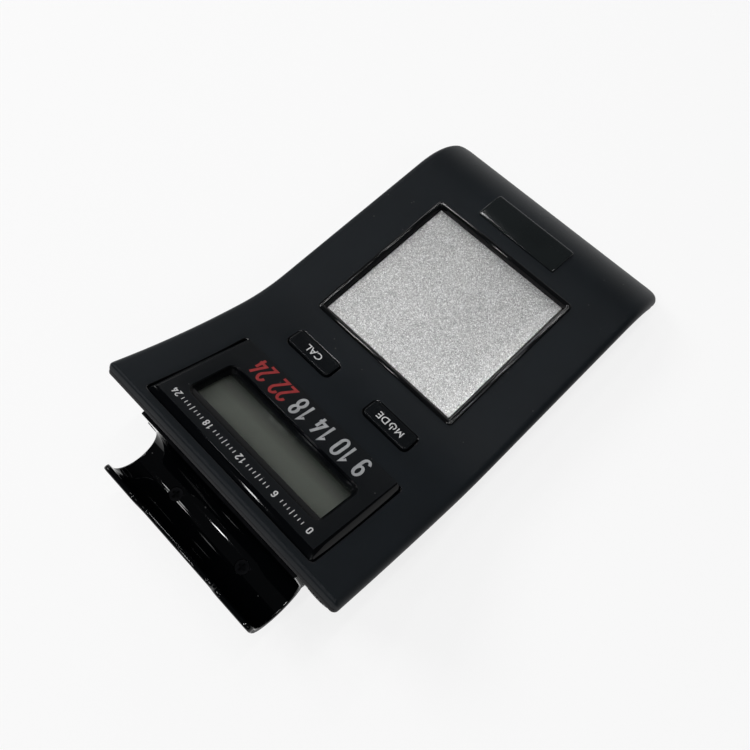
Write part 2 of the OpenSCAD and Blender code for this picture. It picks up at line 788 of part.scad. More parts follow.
module lcd_screws() {
    color([0.75, 0.75, 0.76]) in_frame() on_deck(pad_y) at_corners(lcd_post_x, [-lcd_post_y, lcd_post_y])
        translate([0, 0, -lcd_board_d - board_t]) mirror([0, 0, 1])
            screw(lcd_screw_r, lcd_head_r, lcd_head_h, board_t + lcd_screw_bite);
}

// a frustum that opens upward: two trapezoids crossed
module flared_block(w_low, w_high, bottom, top) {
    intersection() {
        for (turn = [0, 90]) rotate(turn) translate([0, w_high / 2, 0]) rotate([90, 0, 0])
            linear_extrude(w_high) polygon([[-w_low / 2, bottom], [w_low / 2, bottom],
                [w_high / 2, top], [-w_high / 2, top]]);
    }
}

module plate_surround() {
    flare = (mouth_w - well_w) / plate_drop;
    color([0.06, 0.06, 0.07]) in_frame() difference() {
        union() {
            block(sleeve_w, sleeve_w, plate_z - plate_t - ledge_t, deck_z + eps);
            round_block(surround_w, surround_w, 0.8, deck_z, plate_z + plate_drop);
        }
        flared_block(well_w, mouth_w + flare, plate_z, plate_z + plate_drop + 1);
        block(well_w, well_w, plate_z - plate_t, plate_z + eps);
        block(plate_w - 2 * plate_ledge, plate_w - 2 * plate_ledge, plate_z - plate_t - ledge_t - 1, plate_z);
    }
}

module test_plate() {
    color([0.72, 0.72, 0.73]) in_frame() block(plate_w, plate_w, plate_z - plate_t, plate_z);
}

module plate_contact() {
    top = plate_z - plate_t;
    color([0.8, 0.68, 0.35]) in_frame() across(contact_w) polygon([[-6, main_top_z], [7, main_top_z],
        [-1.6, top - contact_t], [4, top - contact_t], [4, top], [-3, top],
        [5.6, main_top_z + contact_t], [-6, main_top_z + contact_t]]);
}

module key_cap() {
    in_frame() on_deck(key_y) union() {
        round_block(key_w, key_l, key_corner_r, -key_top_d - eps, key_proud);
        round_block(key_w + 2 * key_flange, key_l + 2 * key_flange, key_corner_r + key_flange,
            -key_top_d - key_flange_t, -key_top_d);
        post(key_stem_r, -stem_end_d, -key_top_d - key_flange_t + eps);
    }
}

module plunger() {
    in_frame() on_deck(key_y) post(plunger_r, -switch_top_d - plunger_in, -stem_end_d);
}

module switch_body() {
    in_frame() on_deck(key_y) difference() {
        block(switch_w, switch_w, -key_board_d, -switch_top_d);
        post(plunger_r + 0.15, -switch_top_d - plunger_in - key_travel - 0.4, -switch_top_d + 1);
    }
}

module cal_button() {
    color([0.16, 0.16, 0.17]) translate([key_x, 0, 0]) key_cap();
}

module mode_button() {
    color([0.16, 0.16, 0.17]) translate([-key_x, 0, 0]) key_cap();
}

module cal_plunger() {
    color([0.85, 0.82, 0.75]) translate([key_x, 0, 0]) plunger();
}

module mode_plunger() {
    color([0.85, 0.82, 0.75]) translate([-key_x, 0, 0]) plunger();
}

module cal_switch() {
    color([0.25, 0.25, 0.26]) translate([key_x, 0, 0]) switch_body();
}

module mode_switch() {
    color([0.25, 0.25, 0.26]) translate([-key_x, 0, 0]) switch_body();
}

module key_board() {
    color([0.1, 0.35, 0.2]) in_frame() on_deck(key_y) difference() {
        block(key_board_w, key_board_l, -key_board_d - board_t, -key_board_d);
        at_corners(key_post_x, [0]) post(screw_r + screw_gap, -key_board_d - board_t - 1, -key_board_d + 1);
    }
}

module key_board_screws() {
    color([0.75, 0.75, 0.76]) in_frame() on_deck(key_y) at_corners(key_post_x, [0])
        translate([0, 0, -key_board_d - board_t]) mirror([0, 0, 1])
            screw(screw_r, screw_head_r, screw_head_h, board_t + screw_bite);
}

module main_board() {
    posts_y = [main_front + main_post_inset, main_rear - main_post_inset];
    color([0.1, 0.35, 0.2]) in_frame() difference() {
        translate([-main_w / 2, main_front, main_z]) cube([main_w, main_rear - main_front, board_t]);
        at_corners(main_post_x, posts_y) post(screw_r + screw_gap, main_z - 1, main_top_z + 1);
    }
}

// flat parts of the main board: x, y, width, length, height
chip_blocks = [[-16, -8, 14, 14, 1.6], [16, -16, 6, 10, 1.8], [16, 0, 6, 10, 1.8], [16, 16, 6, 10, 1.8],
    [0, 26, 24, 5, 5]];
// round ones: x, y, radius, height
chip_cans = [[-16, 14, 5, 4.5], [-4, -20, 3, 5]];

module control_chips() {
    color([0.12, 0.12, 0.12]) in_frame() translate([0, 0, main_top_z]) {
        for (c = chip_blocks) translate([c[0], c[1], 0]) block(c[2], c[3], 0, c[4]);
        for (c = chip_cans) translate([c[0], c[1], 0]) post(c[2], 0, c[3]);
    }
}

module main_board_screws() {
    color([0.75, 0.75, 0.76]) in_frame()
        at_corners(main_post_x, [main_front + main_post_inset, main_rear - main_post_inset])
            translate([0, 0, main_top_z]) screw(screw_r, screw_head_r, screw_head_h, board_t + screw_bite);
}

module probe_socket() {
    mouth = -nut_t - 0.5;
    color([0.35, 0.35, 0.36]) in_frame() at_socket(socket_x) difference() {
        union() {
            block(2 * probe_barrel_r + 0.2, 7, tub_wall, tub_wall + socket_body_l);
            post(probe_barrel_r, mouth, tub_wall + eps);
        }
        post(probe_bore_r, mouth - 1, mouth + probe_bore_l);
    }
}

module socket_nut() {
    color([0.75, 0.75, 0.76]) in_frame() at_socket(socket_x) difference() {
        translate([0, 0, -nut_t]) cylinder(r = nut_r, h = nut_t, $fn = 6);
        post(probe_barrel_r + 0.1, -nut_t - 1, 1);
    }
}

module power_socket() {
    color([0.08, 0.08, 0.09]) in_frame() at_socket(-socket_x) difference() {
        union() {
            block(2 * power_barrel_r, 9, tub_wall, tub_wall + 11);
            post(power_barrel_r, -0.5, tub_wall + eps);
        }
        post(power_bore_r, -1.5, tub_wall + 8);
    }
}

module power_pin() {
    color([0.8, 0.8, 0.8]) in_frame() at_socket(-socket_x) post(power_pin_r, 0.5, tub_wall + 8);
}

module battery() {
    color([0.3, 0.32, 0.36]) in_frame() union() {
        translate([battery_x, box_y, 0]) block(battery_w, battery_l, battery_z, battery_z + battery_h);
        for (end = [[-terminal_y, 2.8], [terminal_y, 4]])
            translate([battery_end_x - eps, box_y + end[0], battery_z + battery_h / 2]) rotate([0, 90, 0])
                cylinder(r = end[1], h = terminal_h + eps);
    }
}

module battery_snap() {
    color([0.06, 0.06, 0.06]) in_frame() difference() {
        translate([battery_end_x, box_y - battery_l / 2 + 0.4, battery_z + 1])
            cube([snap_w, battery_l - 0.8, battery_h - 2]);
        for (end = [[-terminal_y, 2.8], [terminal_y, 4]])
            translate([battery_end_x - 1, box_y + end[0], battery_z + battery_h / 2]) rotate([0, 90, 0])
                cylinder(r = end[1] + 0.1, h = terminal_h + 1.1);
    }
}

module battery_door() {
    leaf_w = door_w - 2 * door_gap;
    rear = door_y + door_l / 2 - door_gap;
    color([0.12, 0.12, 0.13]) in_frame() difference() {
        union() {
            translate([-leaf_w / 2, hinge_y, base_z]) cube([leaf_w, rear - hinge_y, door_t]);
            translate([-leaf_w / 2, hinge_y, hinge_z]) rotate([0, 90, 0]) cylinder(r = hinge_r, h = leaf_w);
            translate([-door_w / 2 - hinge_pin_l + 0.2, hinge_y, hinge_z]) rotate([0, 90, 0])
                cylinder(r = hinge_pin_r, h = door_w + 2 * hinge_pin_l - 0.4);
        }
        // the two slots beside the latch's tongue, and a trough for a finger
        for (side = [-1, 1]) translate([side * 7, rear, 0]) block(1.2, 18, base_z - 1, base_z + door_t + 1);
        translate([-5, rear - 5, base_z - 7]) rotate([0, 90, 0]) cylinder(r = 7.9, h = 10);
    }
}

module housing_screws() {
    color([0.25, 0.25, 0.26]) in_frame() at_corners(post_x, [post_front_y, post_rear_y])
        translate([0, 0, post_head_z]) mirror([0, 0, 1])
            screw(screw_r, screw_head_r, screw_head_h, post_screw_l);
}

module name_label() {
    color([0.05, 0.05, 0.06]) in_frame() {
        along_nose(0, (label_l - label_flat) / nose_r * 180 / PI) skin_section(label_w, -label_t, 0, label_t * 0.8);
        along_flat(-flat_front, label_flat) skin_section(label_w, -label_t, 0, label_t * 0.8);
    }
}

module rubber_feet() {
    color([0.05, 0.05, 0.05]) in_frame() at_corners(foot_x, [foot_front_y, foot_rear_y])
        post(foot_r, 0, base_z + foot_pocket);
}

top_cover();
under_tray();
lower_housing();
pen_cradle();
cradle_screws();
display_bezel();
display_window();
lcd_glass();
lcd_frame();
lcd_board();
lcd_screws();
plate_surround();
test_plate();
plate_contact();
cal_button();
mode_button();
cal_plunger();
mode_plunger();
cal_switch();
mode_switch();
key_board();
key_board_screws();
main_board();
control_chips();
main_board_screws();
probe_socket();
socket_nut();
power_socket();
power_pin();
battery();
battery_snap();
battery_door();
housing_screws();
name_label();
rubber_feet();
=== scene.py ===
import math

import bmesh
import bpy
import numpy as np
from mathutils import Matrix, Vector
from mathutils.geometry import delaunay_2d_cdt

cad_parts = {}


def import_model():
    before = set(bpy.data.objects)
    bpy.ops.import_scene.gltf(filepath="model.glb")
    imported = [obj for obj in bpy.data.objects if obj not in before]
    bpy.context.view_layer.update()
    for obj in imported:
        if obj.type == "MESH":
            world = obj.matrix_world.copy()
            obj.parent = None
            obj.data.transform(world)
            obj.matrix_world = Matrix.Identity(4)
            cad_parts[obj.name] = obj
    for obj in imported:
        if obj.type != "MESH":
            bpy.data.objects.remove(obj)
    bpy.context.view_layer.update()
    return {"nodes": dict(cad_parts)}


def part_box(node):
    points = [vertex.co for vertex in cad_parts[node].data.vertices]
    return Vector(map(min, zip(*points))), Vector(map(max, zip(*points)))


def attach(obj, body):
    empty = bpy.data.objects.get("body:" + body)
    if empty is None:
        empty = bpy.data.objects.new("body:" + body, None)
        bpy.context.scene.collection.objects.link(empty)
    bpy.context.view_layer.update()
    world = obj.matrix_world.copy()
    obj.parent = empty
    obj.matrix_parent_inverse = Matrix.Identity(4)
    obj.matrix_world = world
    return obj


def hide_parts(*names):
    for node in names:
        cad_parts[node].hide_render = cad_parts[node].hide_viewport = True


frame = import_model()

# Sizes are millimetres in a working frame: y = 0 under the test plate's centre, z = 0 on the table.
plateLow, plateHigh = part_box("test_plate")
midY = -500 * (plateLow.y + plateHigh.y)


def world(x, y, z):
    return Vector((x, y - midY, z)) * 0.001


def addObject(name, data):
    obj = bpy.data.objects.new(name, data)
    bpy.context.scene.collection.objects.link(obj)
    return obj


# the camera stands behind the rim, at the user's left hand, and looks down on the deck
camera = {
    "place": (-73.98, 109.18, 260.94),
    "forward": (0.27838, -0.27726, -0.91958),
    "right": (-0.70406, -0.71014, 0.00098),
    "lens": 36.215,
}


def setCamera(values):
    data = bpy.data.cameras.new("camera")
    data.sensor_width = 36
    data.lens = values["lens"]
    data.clip_start = 0.01
    data.clip_end = 50
    right = Vector(values["right"]).normalized()
    back = -Vector(values["forward"]).normalized()
    up = back.cross(right).normalized()
    right = up.cross(back)
    turn = Matrix((right, up, back)).transposed().to_4x4()
    obj = addObject("camera", data)
    obj.matrix_world = Matrix.Translation(world(*values["place"])) @ turn
    bpy.context.scene.camera = obj


setCamera(camera)
print("camera set")


def newGroup(name, inputs, outputs):
    tree = bpy.data.node_groups.new(name, "ShaderNodeTree")
    for label, value in inputs.items():
        tree.interface.new_socket(label, in_out="INPUT", socket_type="NodeSocketFloat").default_value = value
    for label in outputs:
        tree.interface.new_socket(label, in_out="OUTPUT", socket_type="NodeSocketFloat")
    return tree, tree.nodes.new("NodeGroupInput"), tree.nodes.new("NodeGroupOutput")


def mathNode(tree, kind, a, b=None, clamp=False):
    node = tree.nodes.new("ShaderNodeMath")
    node.operation = kind
    node.use_clamp = clamp
    for socket, value in zip(node.inputs, (a, b)):
        if value is None:
            continue
        if isinstance(value, (int, float)):
            socket.default_value = value
        else:
            tree.links.new(value, socket)
    return node.outputs[0]


def rangeNode(tree, value, low, high, toLow=0.0, toHigh=1.0):
    node = tree.nodes.new("ShaderNodeMapRange")
    node.inputs["From Min"].default_value = low
    node.inputs["From Max"].default_value = high
    node.inputs["To Min"].default_value = toLow
    node.inputs["To Max"].default_value = toHigh
    tree.links.new(value, node.inputs["Value"])
    return node.outputs["Result"]


def noiseNode(tree, place, scale, detail=2.0, rough=0.5):
    node = tree.nodes.new("ShaderNodeTexNoise")
    node.inputs["Detail"].default_value = detail
    node.inputs["Roughness"].default_value = rough
    tree.links.new(place, node.inputs["Vector"])
    if isinstance(scale, (int, float)):
        node.inputs["Scale"].default_value = scale
    else:
        tree.links.new(scale, node.inputs["Scale"])
    return node.outputs["Fac"]


effects = {
    "grain": {"sockets": {"Scale": 2600, "Cloud Scale": 38, "Pit": 0.5}, "grain": (0.3, 0.7),
              "cloud": (0.32, 0.68)},
    "wear": {"sockets": {"Start": 0.53, "End": 0.62, "Break": 260}, "broken": (0.35, 0.62, 0.35, 1.0)},
    "dust": {"sockets": {"Scale": 330, "Size": 0.1, "Share": 0.12}, "upward": (0.3, 0.9)},
    "marks": {"sockets": {"Scale": 60, "Stretch": 26}, "turns": (0.5, 1.9), "tilt": (0.2, 0.1),
              "line": (0.66, 0.72), "smudgeScale": 55.0, "smudge": (0.4, 0.75)},
}


def makeGrainGroup(values):
    tree, given, put = newGroup("mouldGrain", values["sockets"], ("Height", "Grain", "Cloud"))
    place = tree.nodes.new("ShaderNodeTexCoord").outputs["Object"]
    fine = noiseNode(tree, place, given.outputs["Scale"], 3.0, 0.6)
    cloud = noiseNode(tree, place, given.outputs["Cloud Scale"], 3.0, 0.55)
    cells = tree.nodes.new("ShaderNodeTexVoronoi")
    tree.links.new(place, cells.inputs["Vector"])
    tree.links.new(given.outputs["Scale"], cells.inputs["Scale"])
    pits = mathNode(tree, "MULTIPLY", cells.outputs["Distance"], given.outputs["Pit"])
    tree.links.new(mathNode(tree, "ADD", fine, pits), put.inputs["Height"])
    tree.links.new(rangeNode(tree, fine, *values["grain"]), put.inputs["Grain"])
    tree.links.new(rangeNode(tree, cloud, *values["cloud"]), put.inputs["Cloud"])
    return tree


def makeWearGroup(values):
    tree, given, put = newGroup("edgeWear", values["sockets"], ("Mask",))
    point = tree.nodes.new("ShaderNodeNewGeometry").outputs["Pointiness"]
    place = tree.nodes.new("ShaderNodeTexCoord").outputs["Object"]
    node = tree.nodes.new("ShaderNodeMapRange")
    tree.links.new(point, node.inputs["Value"])
    tree.links.new(given.outputs["Start"], node.inputs["From Min"])
    tree.links.new(given.outputs["End"], node.inputs["From Max"])
    broken = rangeNode(tree, noiseNode(tree, place, given.outputs["Break"], 4.0), *values["broken"])
    tree.links.new(mathNode(tree, "MULTIPLY", node.outputs["Result"], broken, True), put.inputs["Mask"])
    return tree


def makeDustGroup(values):
    tree, given, put = newGroup("dustSpecks", values["sockets"], ("Mask",))
    place = tree.nodes.new("ShaderNodeTexCoord").outputs["Object"]
    cells = tree.nodes.new("ShaderNodeTexVoronoi")
    tree.links.new(place, cells.inputs["Vector"])
    tree.links.new(given.outputs["Scale"], cells.inputs["Scale"])
    near = mathNode(tree, "LESS_THAN", cells.outputs["Distance"], given.outputs["Size"])
    tint = tree.nodes.new("ShaderNodeSeparateColor")
    tree.links.new(cells.outputs["Color"], tint.inputs["Color"])
    few = mathNode(tree, "LESS_THAN", tint.outputs[0], given.outputs["Share"])
    facing = tree.nodes.new("ShaderNodeSeparateXYZ")
    tree.links.new(tree.nodes.new("ShaderNodeNewGeometry").outputs["Normal"], facing.inputs[0])
    upward = rangeNode(tree, facing.outputs["Z"], *values["upward"])
    specks = mathNode(tree, "MULTIPLY", near, few)
    tree.links.new(mathNode(tree, "MULTIPLY", specks, upward, True), put.inputs["Mask"])
    return tree


def makeMarksGroup(values):
    tree, given, put = newGroup("handlingMarks", values["sockets"], ("Mask", "Smudge"))
    place = tree.nodes.new("ShaderNodeTexCoord").outputs["Object"]
    lines = None
    for turn in values["turns"]:
        spin = tree.nodes.new("ShaderNodeMapping")
        spin.inputs["Rotation"].default_value = (*values["tilt"], turn)
        tree.links.new(place, spin.inputs["Vector"])
        wide = tree.nodes.new("ShaderNodeCombineXYZ")
        tree.links.new(given.outputs["Stretch"], wide.inputs["X"])
        wide.inputs["Y"].default_value = 1.0
        wide.inputs["Z"].default_value = 1.0
        longer = tree.nodes.new("ShaderNodeVectorMath")
        longer.operation = "MULTIPLY"
        tree.links.new(spin.outputs[0], longer.inputs[0])
        tree.links.new(wide.outputs[0], longer.inputs[1])
        streaks = noiseNode(tree, longer.outputs[0], given.outputs["Scale"])
        part = rangeNode(tree, streaks, *values["line"])
        lines = part if lines is None else mathNode(tree, "MAXIMUM", lines, part)
    tree.links.new(lines, put.inputs["Mask"])
    smudge = noiseNode(tree, place, values["smudgeScale"], 5.0, 0.65)
    tree.links.new(rangeNode(tree, smudge, *values["smudge"]), put.inputs["Smudge"])
    return tree


makers = {"grain": makeGrainGroup, "wear": makeWearGroup, "dust": makeDustGroup, "marks": makeMarksGroup}
groups = {key: make(effects[key]) for key, make in makers.items()}


def placeGroup(tree, key, **values):
    node = tree.nodes.new("ShaderNodeGroup")
    node.node_tree = groups[key]
    for label, value in values.items():
        node.inputs[label.replace("_", " ")].default_value = value
    return node


def mixColour(tree, amount, first, second):
    node = tree.nodes.new("ShaderNodeMix")
    node.data_type = "RGBA"
    tree.links.new(amount, node.inputs["Factor"])
    for socket, value in ((node.inputs[6], first), (node.inputs[7], second)):
        if isinstance(value, tuple):
            socket.default_value = (*value, 1)
        else:
            tree.links.new(value, socket)
    return node.outputs[2]


def makeFinish(name, **values):
    v = {"tint": None, "metal": 0.0, "cloud": 38, "pit": 0.5, "bump": 0.15, "height": 0.00002, "worn": None,
         "dust": None, "marks": 0.0, "specular": 0.5}
    v.update(values)
    mat = bpy.data.materials.new(name)
    mat.use_nodes = True
    tree = mat.node_tree
    shader = tree.nodes["Principled BSDF"]
    grain = placeGroup(tree, "grain", Scale=v["grain"], Cloud_Scale=v["cloud"], Pit=v["pit"])
    tint = v["tint"] or tuple(1.35 * c for c in v["colour"])
    colour = mixColour(tree, grain.outputs["Cloud"], v["colour"], tint)
    if v["worn"]:
        colour = mixColour(tree, placeGroup(tree, "wear").outputs["Mask"], colour, v["worn"])
    if v["dust"]:
        colour = mixColour(tree, placeGroup(tree, "dust").outputs["Mask"], colour, v["dust"])
    tree.links.new(colour, shader.inputs["Base Color"])
    rough = rangeNode(tree, grain.outputs["Grain"], 0, 1, *v["rough"])
    if v["marks"]:
        marks = placeGroup(tree, "marks")
        lift = mathNode(tree, "MULTIPLY", marks.outputs["Mask"], v["marks"])
        haze = mathNode(tree, "MULTIPLY", marks.outputs["Smudge"], v["marks"] * 0.35)
        rough = mathNode(tree, "ADD", rough, mathNode(tree, "ADD", lift, haze), True)
    tree.links.new(rough, shader.inputs["Roughness"])
    bump = tree.nodes.new("ShaderNodeBump")
    bump.inputs["Strength"].default_value = v["bump"]
    bump.inputs["Distance"].default_value = v["height"]
    tree.links.new(grain.outputs["Height"], bump.inputs["Height"])
    tree.links.new(bump.outputs["Normal"], shader.inputs["Normal"])
    shader.inputs["Metallic"].default_value = v["metal"]
    shader.inputs["Specular IOR Level"].default_value = v["specular"]
    return mat


finishValues = {
    "softTouch": {"colour": (0.0045, 0.0066, 0.0088), "rough": (0.44, 0.54), "grain": 3400, "bump": 0.3,
                  "worn": (0.012, 0.014, 0.017), "dust": (0.035, 0.035, 0.035), "marks": 0.05,
                  "specular": 0.17},
    "keyMatt": {"colour": (0.0035, 0.0045, 0.0055), "rough": (0.2, 0.27), "grain": 4200, "bump": 0.1,
                "worn": (0.012, 0.013, 0.015), "specular": 0.26},
    "gloss": {"colour": (0.0008, 0.001, 0.0013), "rough": (0.02, 0.035), "grain": 900, "bump": 0.004,
              "marks": 0.05, "specular": 0.25, "worn": (0.006, 0.006, 0.007), "dust": (0.05, 0.05, 0.05)},
    "edgeGloss": {"colour": (0.0008, 0.001, 0.0013), "rough": (0.02, 0.035), "grain": 900,
                  "bump": 0.004, "specular": 0.55, "worn": (0.006, 0.006, 0.007)},
    "padMatt": {"colour": (0.004, 0.005, 0.0062), "rough": (0.32, 0.4), "grain": 3800, "bump": 0.18,
                "worn": (0.012, 0.013, 0.015), "dust": (0.05, 0.05, 0.05), "marks": 0.06,
                "specular": 0.16},
    "padGloss": {"colour": (0.001, 0.0013, 0.0018), "rough": (0.035, 0.06), "grain": 1200, "bump": 0.02,
                 "specular": 0.15, "worn": (0.008, 0.009, 0.01)},
    "labelGloss": {"colour": (0.009, 0.011, 0.0115), "rough": (0.05, 0.09), "grain": 1500, "bump": 0.03,
                   "marks": 0.1, "worn": (0.02, 0.02, 0.02), "specular": 0.35},
    "moulded": {"colour": (0.007, 0.0075, 0.0085), "rough": (0.5, 0.62), "grain": 2200, "pit": 0.9,
                "bump": 0.4, "height": 0.00003, "worn": (0.014, 0.014, 0.015), "specular": 0.25},
    "blackScrew": {"colour": (0.008, 0.008, 0.009), "metal": 0.6, "rough": (0.28, 0.4), "grain": 3000,
                   "specular": 0.2},
    "steel": {"colour": (0.55, 0.55, 0.56), "metal": 1.0, "rough": (0.22, 0.36), "grain": 2800,
              "bump": 0.08},
    "springBrass": {"colour": (0.66, 0.5, 0.22), "metal": 1.0, "rough": (0.2, 0.3), "grain": 2500},
    "lcdTin": {"colour": (0.02, 0.02, 0.02), "metal": 0.5, "rough": (0.35, 0.45), "grain": 2400},
    "board": {"colour": (0.012, 0.09, 0.04), "tint": (0.02, 0.13, 0.055), "rough": (0.2, 0.32),
              "grain": 1500, "cloud": 160, "bump": 0.2},
    "chip": {"colour": (0.012, 0.012, 0.012), "rough": (0.4, 0.55), "grain": 5000, "bump": 0.3},
    "ivory": {"colour": (0.62, 0.58, 0.5), "rough": (0.35, 0.45), "grain": 2000},
    "batteryWrap": {"colour": (0.05, 0.055, 0.07), "metal": 0.4, "rough": (0.22, 0.3), "grain": 900},
    "rubber": {"colour": (0.014, 0.014, 0.014), "rough": (0.6, 0.75), "grain": 2600, "pit": 0.8,
               "bump": 0.5},
    "printWhite": {"colour": (0.6, 0.6, 0.6), "rough": (0.4, 0.5), "grain": 4500, "cloud": 700,
                   "bump": 0.1, "tint": (0.72, 0.72, 0.72)},
    "printSilver": {"colour": (0.4, 0.41, 0.42), "rough": (0.3, 0.42), "grain": 4500, "cloud": 500,
                    "tint": (0.52, 0.53, 0.54), "metal": 0.2},
    "printRed": {"colour": (0.3, 0.02, 0.02), "tint": (0.38, 0.03, 0.03), "rough": (0.35, 0.45),
                 "grain": 4500, "cloud": 600},
}
finish = {name: makeFinish(name, **values) for name, values in finishValues.items()}


def reworkColour(mat):
    shader = mat.node_tree.nodes["Principled BSDF"]
    return mat.node_tree, shader, shader.inputs["Base Color"].links[0].from_socket


plateFinish = {
    "finish": {"colour": (0.46, 0.46, 0.455), "tint": (0.52, 0.52, 0.51), "metal": 1.0, "rough": (0.34, 0.46),
               "grain": 3000, "cloud": 60, "pit": 0.2, "bump": 0.75},
    "flake": 3300, "sparkFrom": 0.35, "spark": 0.8, "bright": (0.97, 0.97, 0.96),
    "dullFrom": 0.45, "dull": 0.8, "dark": (0.22, 0.22, 0.22),
}


def makePlateFinish(values):
    mat = makeFinish("plateSilver", **values["finish"])
    tree, shader, base = reworkColour(mat)
    flakes = tree.nodes.new("ShaderNodeTexVoronoi")
    flakes.inputs["Scale"].default_value = values["flake"]
    tree.links.new(tree.nodes.new("ShaderNodeTexCoord").outputs["Object"], flakes.inputs["Vector"])
    split = tree.nodes.new("ShaderNodeSeparateColor")
    tree.links.new(flakes.outputs["Color"], split.inputs["Color"])
    spark = rangeNode(tree, split.outputs[0], values["sparkFrom"], 1.0, 0.0, values["spark"])
    dull = rangeNode(tree, split.outputs[1], values["dullFrom"], 1.0, 0.0, values["dull"])
    lit = mixColour(tree, spark, base, values["bright"])
    tree.links.new(mixColour(tree, dull, lit, values["dark"]), shader.inputs["Base Color"])
    return mat


displayFinish = {
    "finish": {"colour": (0.062, 0.067, 0.058), "tint": (0.07, 0.075, 0.065), "rough": (0.16, 0.24),
               "grain": 3000, "cloud": 30, "bump": 0.03},
    "pitch": {"X": 0.00062, "Y": 0.00068}, "lineFrom": 0.86, "faint": 0.25, "grid": (0.08, 0.086, 0.075),
    # shade and dark paint a shadow onto the display's front edge, under the window's front wall
    "paintedShade": (0.16, 0.46), "dark": (0.012, 0.014, 0.012),
}


def makeDisplayFinish(values):
    mat = makeFinish("lcdPanel", **values["finish"])
    tree, shader, base = reworkColour(mat)
    place = tree.nodes.new("ShaderNodeSeparateXYZ")
    tree.links.new(tree.nodes.new("ShaderNodeTexCoord").outputs["Object"], place.inputs[0])
    # faint rows of unlit dots
    rows = None
    for axis, pitch in values["pitch"].items():
        wave = mathNode(tree, "FRACT", mathNode(tree, "MULTIPLY", place.outputs[axis], 1 / pitch))
        line = mathNode(tree, "GREATER_THAN", wave, values["lineFrom"])
        rows = line if rows is None else mathNode(tree, "MAXIMUM", rows, line)
    faint = mathNode(tree, "MULTIPLY", rows, values["faint"])
    span = tree.nodes.new("ShaderNodeSeparateXYZ")
    tree.links.new(tree.nodes.new("ShaderNodeTexCoord").outputs["Generated"], span.inputs[0])
    paintedShade = rangeNode(tree, span.outputs["Y"], *values["paintedShade"])  # painted shade: darker toward the keys, standing in for the shadow the window's front wall casts on the display
    lit = mixColour(tree, faint, base, values["grid"])
    tree.links.new(mixColour(tree, paintedShade, values["dark"], lit), shader.inputs["Base Color"])
    return mat


windowFinish = {"ior": 1.49, "thin": (0.93, 0.94, 0.93), "thick": (0.97, 0.98, 0.97), "rough": 0.03,
                "shadow": (0.9, 0.9, 0.9)}


def makeWindowFinish(values):
    mat = bpy.data.materials.new("clearWindow")
    mat.use_nodes = True
    tree = mat.node_tree
    shader = tree.nodes["Principled BSDF"]
    shader.inputs["Transmission Weight"].default_value = 1.0
    shader.inputs["IOR"].default_value = values["ior"]
    grain = placeGroup(tree, "grain", Scale=1800, Cloud_Scale=50, Pit=0.1)
    tint = mixColour(tree, grain.outputs["Cloud"], values["thin"], values["thick"])
    tree.links.new(tint, shader.inputs["Base Color"])
    rough = rangeNode(tree, grain.outputs["Grain"], 0, 1, 0.0, values["rough"])
    tree.links.new(rough, shader.inputs["Roughness"])
    # shadow rays pass, so that the display under it is lit
    clear = tree.nodes.new("ShaderNodeBsdfTransparent")
    clear.inputs["Color"].default_value = (*values["shadow"], 1)
    mix = tree.nodes.new("ShaderNodeMixShader")
    tree.links.new(tree.nodes.new("ShaderNodeLightPath").outputs["Is Shadow Ray"], mix.inputs[0])
    tree.links.new(shader.outputs[0], mix.inputs[1])
    tree.links.new(clear.outputs[0], mix.inputs[2])
    tree.links.new(mix.outputs[0], tree.nodes["Material Output"].inputs["Surface"])
    return mat


finish["plate"] = makePlateFinish(plateFinish)
finish["lcd"] = makeDisplayFinish(displayFinish)
finish["window"] = makeWindowFinish(windowFinish)
print("finishes made:", len(finish))


def finishPiece(name, bm, mats, body="housing", replaced=(), sharp=38):
    bmesh.ops.remove_doubles(bm, verts=bm.verts, dist=1e-7)
    bmesh.ops.recalc_face_normals(bm, faces=bm.faces)
    mesh = bpy.data.meshes.new(name)
    bm.to_mesh(mesh)
    bm.free()
    for mat in mats:
        mesh.materials.append(finish[mat])
    mesh.shade_smooth()
    mesh.set_sharp_from_angle(angle=math.radians(sharp))
    obj = addObject(name, mesh)
    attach(obj, body)
    if replaced:
        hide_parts(*replaced)
    print("made", name, len(mesh.polygons))
    return obj


def roundOutline(halfX, low, high, radii, insets=(0, 0, 0), steps=8, alongX=1, alongY=1):
    leastRadius = 0.04
    points = []
    corners = ((1, -1, radii[0], insets[1]), (1, 1, radii[1], insets[2]), (-1, 1, radii[1], insets[2]),
               (-1, -1, radii[0], insets[1]))
    for i, (sx, sy, radius, insetY) in enumerate(corners):
        rx = max(radius - insets[0], leastRadius)
        ry = max(radius - insetY, leastRadius)
        cx = sx * (halfX - insets[0] - rx)
        cy = (high - insetY - ry) if sy > 0 else (low + insetY + ry)
        for k in range(steps + 1):
            a = math.radians(-90 + 90 * i + 90 * k / steps)
            points.append((cx + rx * math.cos(a), cy + ry * math.sin(a), math.cos(a) ** 2, i in (1, 2)))
    # the straight sides between the corners
    full = []
    n = steps + 1
    for i in range(4):
        arc = points[i * n:(i + 1) * n]
        full += arc
        start, end = arc[-1], points[((i + 1) % 4) * n]
        count = alongY if i in (0, 2) else alongX
        for k in range(1, count):
            t = k / count
            side = 1.0 if i in (0, 2) else 0.0
            full.append((start[0] + (end[0] - start[0]) * t, start[1] + (end[1] - start[1]) * t, side,
                         end[3] if t > 0.5 else start[3]))
    return full


def layRing(bm, points, place, h):
    return [bm.verts.new(place(p[0], p[1], h)) for p in points], points


def bridge(bm, first, second, material=0, closed=True):
    for i in range(len(first) if closed else len(first) - 1):
        j = (i + 1) % len(first)
        bm.faces.new((first[i], first[j], second[j], second[i])).material_index = material


def bridgeRings(bm, rings, material=0):
    for (first, _), (second, _) in zip(rings, rings[1:]):
        bridge(bm, first, second, material)


def roundSteps(radius, count):
    # how far each step of a quarter round lies in and down from the sharp edge
    turns = [math.radians(90 * k / count) for k in range(count + 1)]
    return [(radius * (1 - math.sin(a)), radius * (1 - math.cos(a))) for a in turns]


